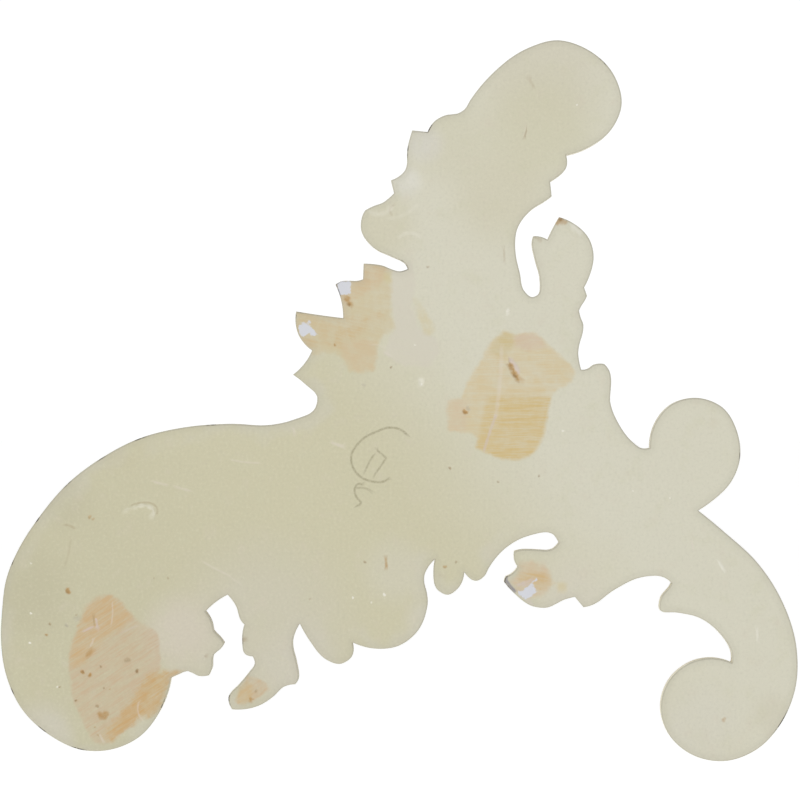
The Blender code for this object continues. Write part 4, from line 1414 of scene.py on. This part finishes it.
@dataclass
class Casting:
    """The onlay itself: flat back, short wall and carved front in one closed skin.

    Attributes:
        node: The frame's node that it stands for.
        slot: The record's material slot; not used.
        front_spacing: Step of the front's mesh in mm.
        back_spacing: Step of the back's mesh in mm.
        front_rows: Insets of the rows that follow the outline on the front, in mm.
        back_rows: The same on the back.
        arris: Width of the worn edge of the back in mm.
        arris_drop: How far that edge falls away in mm.
        corner: Turn in degrees above which the outline has a true corner.
        crease: Turn in degrees above which an edge of the mesh is shaded sharp.
        front_room, back_room: Widths of the cells that hold one point of detail, in mm.
        hollow_rounds: Rounds of averaging that the hollows come from, and that soften them.
        keep_off: How far the mesh's points keep off. Those of a row keep off the outline by
            a share of its inset, and those of a detail by a share of the last row's. Those
            of the field keep off that row and the details by shares of their spacing.
        carving: The relief.
        marks: The marks on the back.
    """

    node: str = "scroll_onlay"
    slot: str = "cream_casting"
    front_spacing: float = 0.88
    back_spacing: float = 1.8
    front_rows: tuple[float, ...] = (0.22, 0.6, 1.1, 1.8)
    back_rows: tuple[float, ...] = (0.32, 0.8, 1.5, 2.6)
    wall_rows: tuple[float, ...] = (0.0, 0.12, 0.5, 0.88, 1.0)
    arris: float = 0.32
    arris_drop: float = 0.22
    corner: float = 27.0
    crease: float = 38.0
    front_room: float = 0.5
    back_room: float = 0.12
    hollow_rounds: tuple[int, int] = (24, 14)
    keep_off: tuple[float, float, float, float] = (0.97, 1.15, 0.45, 0.42)
    carving: Carving = field(default_factory=Carving)
    marks: BackMarks = field(default_factory=BackMarks)

    def outline(self) -> np.ndarray:
        """Read the outline off the frame's node and round its chords.

        The edges that only one triangle of the back uses make the outline. Each chord is
        replaced by the cubic that meets its ends with the heading of the parabola through the
        neighbours, except that a true corner keeps both its own headings.

        Returns:
            The ring's points (u, v) in mm, turning from u towards v.
        """
        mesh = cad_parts[self.node].data
        spots = np.empty(len(mesh.vertices) * 3)
        mesh.vertices.foreach_get("co", spots)
        spots = spots.reshape(-1, 3)
        mesh.calc_loop_triangles()
        corners = np.empty(len(mesh.loop_triangles) * 3, dtype=int)
        mesh.loop_triangles.foreach_get("vertices", corners)
        corners = corners.reshape(-1, 3)
        flat = corners[(np.abs(spots[corners][:, :, 1]) < 1e-6).all(axis=1)]
        places, number = np.unique(np.round(spots[:, [0, 2]] * 1e6).astype(int), axis=0,
                                   return_inverse=True)
        flat = number.ravel()[flat]
        edges = np.vstack([flat[:, [0, 1]], flat[:, [1, 2]], flat[:, [2, 0]]])
        key = np.sort(edges, axis=1)
        _, first, count = np.unique(key, axis=0, return_index=True, return_counts=True)
        border = edges[first[count == 1]]
        after = np.zeros(len(places), dtype=int)
        after[border[:, 0]] = border[:, 1]
        order, step = border[:1, 0], after
        while len(order) < len(border):
            order, step = np.concatenate([order, step[order]]), step[step]
        ring = places[order[:len(border)]] * [-1e-3, 1e-3]
        area = (ring[:, 0] * np.roll(ring[:, 1], -1) - ring[:, 1] * np.roll(ring[:, 0], -1)).sum()
        return self._rounded(ring if area > 0 else ring[::-1])

    def _rounded(self, ring: np.ndarray, parts: int = 3) -> np.ndarray:
        """Replace the ring's chords by smooth arcs between its true corners.

        Args:
            ring: The ring's points.
            parts: How many pieces each chord becomes.

        Returns:
            The finer ring.
        """
        runs = np.roll(ring, -1, axis=0) - ring
        long = np.linalg.norm(runs, axis=1)[:, None]
        slope = runs / long
        before, was = np.roll(slope, 1, axis=0), np.roll(long, 1, axis=0)
        heading = (before * long + slope * was) / (long + was)
        turn = np.degrees(np.arccos(np.clip((before * slope).sum(axis=1), -1.0, 1.0)))
        sharp = (turn > self.corner)[:, None]
        last_sharp, last_heading = np.roll(sharp, -1, axis=0), np.roll(heading, -1, axis=0)
        leave = np.where(sharp, np.where(last_sharp, slope, 2 * slope - last_heading), heading)
        arrive = np.where(last_sharp, np.where(sharp, slope, 2 * slope - heading), last_heading)
        t = (np.arange(parts) / parts)[None, :, None]
        start, end = ring[:, None, :], np.roll(ring, -1, axis=0)[:, None, :]
        pull = long[:, None, :]
        curve = ((2 * t**3 - 3 * t**2 + 1) * start + (t**3 - 2 * t**2 + t) * pull * leave[:, None]
                 + (3 * t**2 - 2 * t**3) * end + (t**3 - t**2) * pull * arrive[:, None])
        return curve.reshape(-1, 2)

    @staticmethod
    def _thinned(points: np.ndarray, room: float) -> np.ndarray:
        """Keep one point in each square cell of the given width, the first that fell there."""
        cell = np.floor(points / room).astype(int)
        _, first = np.unique(cell, axis=0, return_index=True)
        return points[np.sort(first)]

    def _fill(self, ring: np.ndarray, rows: Sequence[float], spacing: float,
              extra: np.ndarray, room: float) -> tuple[np.ndarray, np.ndarray]:
        """Lay the inner points of one face of the casting.

        Rows follow the outline at the given insets. The extra points come next, and a field
        of equal triangles fills the rest, wherever nothing else is near.

        Args:
            ring: The outline.
            rows: The insets in mm.
            spacing: Side of the field's triangles in mm.
            extra: Points that a detail needs, kept where they are.
            room: Side of the square cells that hold no more than one of them, in mm.

        Returns:
            The points, and the distance of each from the outline in mm.
        """
        ahead = np.roll(ring, -1, axis=0) - np.roll(ring, 1, axis=0)
        inward = np.stack([-ahead[:, 1], ahead[:, 0]], axis=1)
        inward /= np.linalg.norm(inward, axis=1)[:, None]
        low, high = ring.min(axis=0), ring.max(axis=0)
        v, u = np.meshgrid(np.arange(low[1], high[1], spacing * math.sqrt(0.75)),
                           np.arange(low[0], high[0], spacing), indexing="ij")
        u = u + (np.arange(len(u)) % 2 * spacing / 2)[:, None]
        even = np.stack([u.ravel(), v.ravel()], axis=1)
        extra = self._thinned(extra, room)
        of_row, of_extra, of_field, of_detail = self.keep_off
        even = even[self._clear_of(even, extra, of_detail * spacing)]
        sets = [(ring + inset * inward, of_row * inset) for inset in rows]
        sets += [(extra, of_extra * rows[-1]), (even, rows[-1] + of_field * spacing)]
        points = np.vstack([some for some, _ in sets])
        least = np.concatenate([np.full(len(some), gap) for some, gap in sets])
        held = inside_ring(points, ring)
        points, least = points[held], least[held]
        gap, _ = nearest_on_line(points, np.vstack([ring, ring[:1]]))
        return points[gap > least], gap[gap > least]

    @staticmethod
    def _clear_of(points: np.ndarray, others: np.ndarray, room: float) -> np.ndarray:
        """Tell which points have none of the others in their own square cell or beside it."""
        taken = np.floor(others / room).astype(int)
        around = [taken + (i, j) for i in (-1, 0, 1) for j in (-1, 0, 1)]
        cells = np.unique(np.vstack(around) @ (CELL_STRIDE, 1))
        return ~np.isin(np.floor(points / room).astype(int) @ (CELL_STRIDE, 1), cells)

    @staticmethod
    def _triangles(ring: np.ndarray, inner: np.ndarray) -> np.ndarray:
        """Join the ring and the inner points into triangles that turn from u towards v."""
        every = np.vstack([ring, inner])
        border = [list(range(len(ring)))]
        made, _, faces, _, _, _ = delaunay_2d_cdt([Vector(p) for p in every], [], border, 1, 1e-5)
        if len(made) != len(every):
            raise ValueError("the mesh of a face gained or lost points")
        faces = np.array(faces, dtype=int)
        first, second, third = (every[faces[:, i]] for i in range(3))
        one, two = second - first, third - first
        wrong = one[:, 0] * two[:, 1] - one[:, 1] * two[:, 0] < 0
        faces[wrong] = faces[wrong][:, ::-1]
        return faces

    @staticmethod
    def _averaged(values: np.ndarray, faces: np.ndarray, rounds: int) -> np.ndarray:
        """Average each value with its neighbours on the mesh, as many times as asked."""
        ends = np.vstack([faces[:, [0, 1]], faces[:, [1, 2]], faces[:, [2, 0]]])
        ends = np.vstack([ends, ends[:, ::-1]])
        count = np.bincount(ends[:, 0], minlength=len(values))
        for _ in range(rounds):
            total = np.bincount(ends[:, 0], values[ends[:, 1]], len(values))
            values = (values + total) / (count + 1)
        return values

    def _mesh(self, spots: np.ndarray, back_faces: np.ndarray,
              other_faces: np.ndarray) -> bpy.types.Mesh:
        """Make the mesh, with the back in its first finish and the rest in its second.

        Args:
            spots: Points (u, v, height) in mm.
            back_faces: Triangles of the back.
            other_faces: Triangles of the wall and the front.

        Returns:
            The mesh.
        """
        faces = np.vstack([back_faces, other_faces])
        finish = np.concatenate([np.zeros(len(back_faces)), np.ones(len(other_faces))])
        mesh = bpy.data.meshes.new("casting")
        mesh.vertices.add(len(spots))
        mesh.vertices.foreach_set("co", np.column_stack(
            [-spots[:, 0] * MM, -spots[:, 2] * MM, spots[:, 1] * MM]).ravel())
        mesh.loops.add(faces.size)
        mesh.loops.foreach_set("vertex_index", faces.ravel())
        mesh.polygons.add(len(faces))
        mesh.polygons.foreach_set("loop_start", np.arange(0, faces.size, 3))
        mesh.polygons.foreach_set("material_index", finish.astype(int))
        mesh.update(calc_edges=True)
        mesh.validate()
        mesh.shade_smooth()
        mesh.set_sharp_from_angle(angle=math.radians(self.crease))
        return mesh

    def build(self) -> bpy.types.Object:
        """Make the closed skin with its attributes and finishes.

        The wall joins the two rings by rows at shares of its height. Its points come first,
        then those of the back, then those of the front.

        Returns:
            The casting's object.
        """
        ring = self.outline()
        front, front_gap = self._fill(ring, self.front_rows, self.front_spacing,
                                      self.carving.mesh_points(), self.front_room)
        back, back_gap = self._fill(ring, self.back_rows, self.back_spacing,
                                    self.marks.mesh_points(), self.back_room)
        front_faces, back_faces = self._triangles(ring, front), self._triangles(ring, back)
        height = self.carving.heights(front, front_gap)
        count, rows = len(ring), len(self.wall_rows)
        skin = np.concatenate([np.full(count, self.carving.edge), height])
        hollow = self._averaged(skin, front_faces, self.hollow_rounds[0]) - skin
        hollow = self._averaged(hollow, front_faces, self.hollow_rounds[1])
        fall = self.arris_drop * np.clip(1.0 - back_gap / self.arris, 0.0, 1.0)
        rise = self.carving.edge - self.arris_drop
        wall = [np.column_stack([ring, np.full(count, self.arris_drop + rise * share)])
                for share in self.wall_rows]
        spots = np.vstack(wall + [np.column_stack([back, self.marks.dips(back) + fall]),
                                  np.column_stack([front, height])])

        back_start, last_row = count * rows, count * (rows - 1)
        front_start = back_start + len(back)
        back_faces = np.where(back_faces < count, back_faces, back_faces - count + back_start)
        front_faces = np.where(front_faces < count, front_faces + last_row,
                               front_faces - count + front_start)[:, ::-1]
        here = np.arange(count)
        then = np.roll(here, -1)
        quads = [np.column_stack([here, here + count, then + count, then]) + count * row
                 for row in range(rows - 1)]
        wall_faces = [quad[:, pick] for quad in quads for pick in ([0, 1, 2], [0, 2, 3])]
        mesh = self._mesh(spots, back_faces, np.vstack(wall_faces + [front_faces]))

        fields = {"gap": np.concatenate([np.zeros(back_start), back_gap, front_gap]),
                  "hollow": np.zeros(len(spots))}
        fields["hollow"][front_start:] = hollow[count:]
        fields["hollow"][last_row:back_start] = hollow[:count]
        on_back = np.concatenate([here, np.arange(back_start, front_start)])
        for name, values in self.marks.fields(spots[on_back, :2]).items():
            fields[name] = np.zeros(len(spots))
            fields[name][on_back] = values
        for name, values in fields.items():
            layer = mesh.attributes.new(name, "FLOAT", "POINT")
            layer.data.foreach_set("value", values.astype(np.float32))

        mesh.materials.append(RawBack().make(self.marks.stains))
        mesh.materials.append(AntiquedFront().make())
        casting = bpy.data.objects.new("casting", mesh)
        bpy.context.scene.collection.objects.link(casting)
        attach(casting, "root")
        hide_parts(self.node)
        LOG.info("casting: %d faces, outline of %d points", len(mesh.polygons), count)
        return casting


@dataclass(frozen=True)
class Panel:
    """A soft light panel: its name, place in m, side in m and power in W."""

    name: str
    place: tuple[float, float, float]
    side: float
    power: float


@dataclass
class Studio:
    """The plain pale floor, the soft light and the camera that looks at the back.

    Attributes:
        view_width: Width of the back's plane that the picture takes in, in mm.
        middle: The place (u, v) in the middle of the picture, in mm.
        lens: Focal length in mm.
        floor_drop: How far below the origin the floor lies, in m.
        floor_size: Side of the floor in m.
        sensor: Width of the sensor in mm.
        clip: Nearest and farthest distance that the camera sees, in m.
        paper: The floor's colour.
        paper_roughness: Its roughness.
        paper_glow: Strength of its own light, which keeps it pale far from the panels.
        room_light: Strength of the room's light.
        room_seen: How bright the room looks to the camera.
        panels: The panels, one for each face of the casting.
    """

    view_width: float = 301.1
    middle: Point = (-3.0, 25.2)
    lens: float = 120.0
    sensor: float = 36.0
    floor_drop: float = 0.45
    floor_size: float = 60.0
    clip: Point = (0.05, 200.0)
    paper: Tone = (0.93, 0.93, 0.92)
    paper_roughness: float = 0.9
    paper_glow: float = 0.55
    room_light: float = 0.49
    room_seen: float = 1.05
    panels: tuple[Panel, ...] = (Panel("back_panel", (0.9, 1.2, 1.3), 0.9, 9.4),
                                 Panel("front_panel", (0.8, -1.3, 1.2), 0.8, 14.0))

    def camera(self) -> bpy.types.Object:
        """Set the camera level and square to the back.

        Its distance is the view's width times the lens over the sensor.

        Returns:
            The camera.
        """
        data = bpy.data.cameras.new("camera")
        data.lens, data.sensor_width = self.lens, self.sensor
        data.clip_start, data.clip_end = self.clip
        camera = bpy.data.objects.new("camera", data)
        away = self.view_width * MM * self.lens / self.sensor
        camera.location = (-self.middle[0] * MM, away, self.middle[1] * MM)
        camera.rotation_euler = (math.radians(90.0), 0.0, math.radians(180.0))
        bpy.context.scene.collection.objects.link(camera)
        bpy.context.scene.camera = camera
        return camera

    def floor(self) -> bpy.types.Object:
        """Lay the pale floor.

        Returns:
            The floor.
        """
        half = self.floor_size / 2
        mesh = bpy.data.meshes.new("floor")
        corners = [(-half, -half), (half, -half), (half, half), (-half, half)]
        mesh.from_pydata([(x, y, -self.floor_drop) for x, y in corners], [], [(0, 1, 2, 3)])
        floor = bpy.data.objects.new("floor", mesh)
        paper = bpy.data.materials.new("pale_floor")
        paper.use_nodes = True
        shader = paper.node_tree.nodes["Principled BSDF"]
        shader.inputs["Base Color"].default_value = (*self.paper, 1.0)
        shader.inputs["Roughness"].default_value = self.paper_roughness
        shader.inputs["Emission Color"].default_value = (1.0, 1.0, 1.0, 1.0)
        shader.inputs["Emission Strength"].default_value = self.paper_glow
        mesh.materials.append(paper)
        bpy.context.scene.collection.objects.link(floor)
        return floor

    @staticmethod
    def _hang(panel: Panel) -> None:
        """Hang one panel so that it faces the origin."""
        data = bpy.data.lights.new(panel.name, "AREA")
        data.size, data.energy = panel.side, panel.power
        lamp = bpy.data.objects.new(panel.name, data)
        lamp.location = panel.place
        lamp.rotation_mode = "QUATERNION"
        lamp.rotation_quaternion = (-Vector(panel.place)).to_track_quat("-Z", "Y")
        bpy.context.scene.collection.objects.link(lamp)

    def light(self) -> None:
        """Light the room evenly, with one soft panel for each face of the casting."""
        world = bpy.data.worlds.new("white_room")
        world.use_nodes = True
        tree = world.node_tree
        room = tree.nodes["Background"]
        room.inputs["Color"].default_value = (1.0, 1.0, 1.0, 1.0)
        room.inputs["Strength"].default_value = self.room_light
        seen = tree.nodes.new("ShaderNodeBackground")
        seen.inputs["Color"].default_value = (1.0, 1.0, 1.0, 1.0)
        seen.inputs["Strength"].default_value = self.room_seen
        path = tree.nodes.new("ShaderNodeLightPath")
        either = tree.nodes.new("ShaderNodeMixShader")
        tree.links.new(path.outputs["Is Camera Ray"], either.inputs[0])
        tree.links.new(room.outputs[0], either.inputs[1])
        tree.links.new(seen.outputs[0], either.inputs[2])
        tree.links.new(either.outputs[0], tree.nodes["World Output"].inputs["Surface"])
        bpy.context.scene.world = world
        for panel in self.panels:
            self._hang(panel)
        settings = bpy.context.scene.view_settings
        settings.view_transform, settings.look = "Standard", "None"


def main() -> None:
    """Build the casting and the studio in order, and report each."""
    logging.basicConfig(level=logging.INFO, format="%(name)s: %(message)s")
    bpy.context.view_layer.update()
    Casting().build()
    studio = Studio()
    studio.floor()
    studio.light()
    studio.camera()
    LOG.info("studio: floor, light and camera are set")


if __name__ == "__main__":
    main()
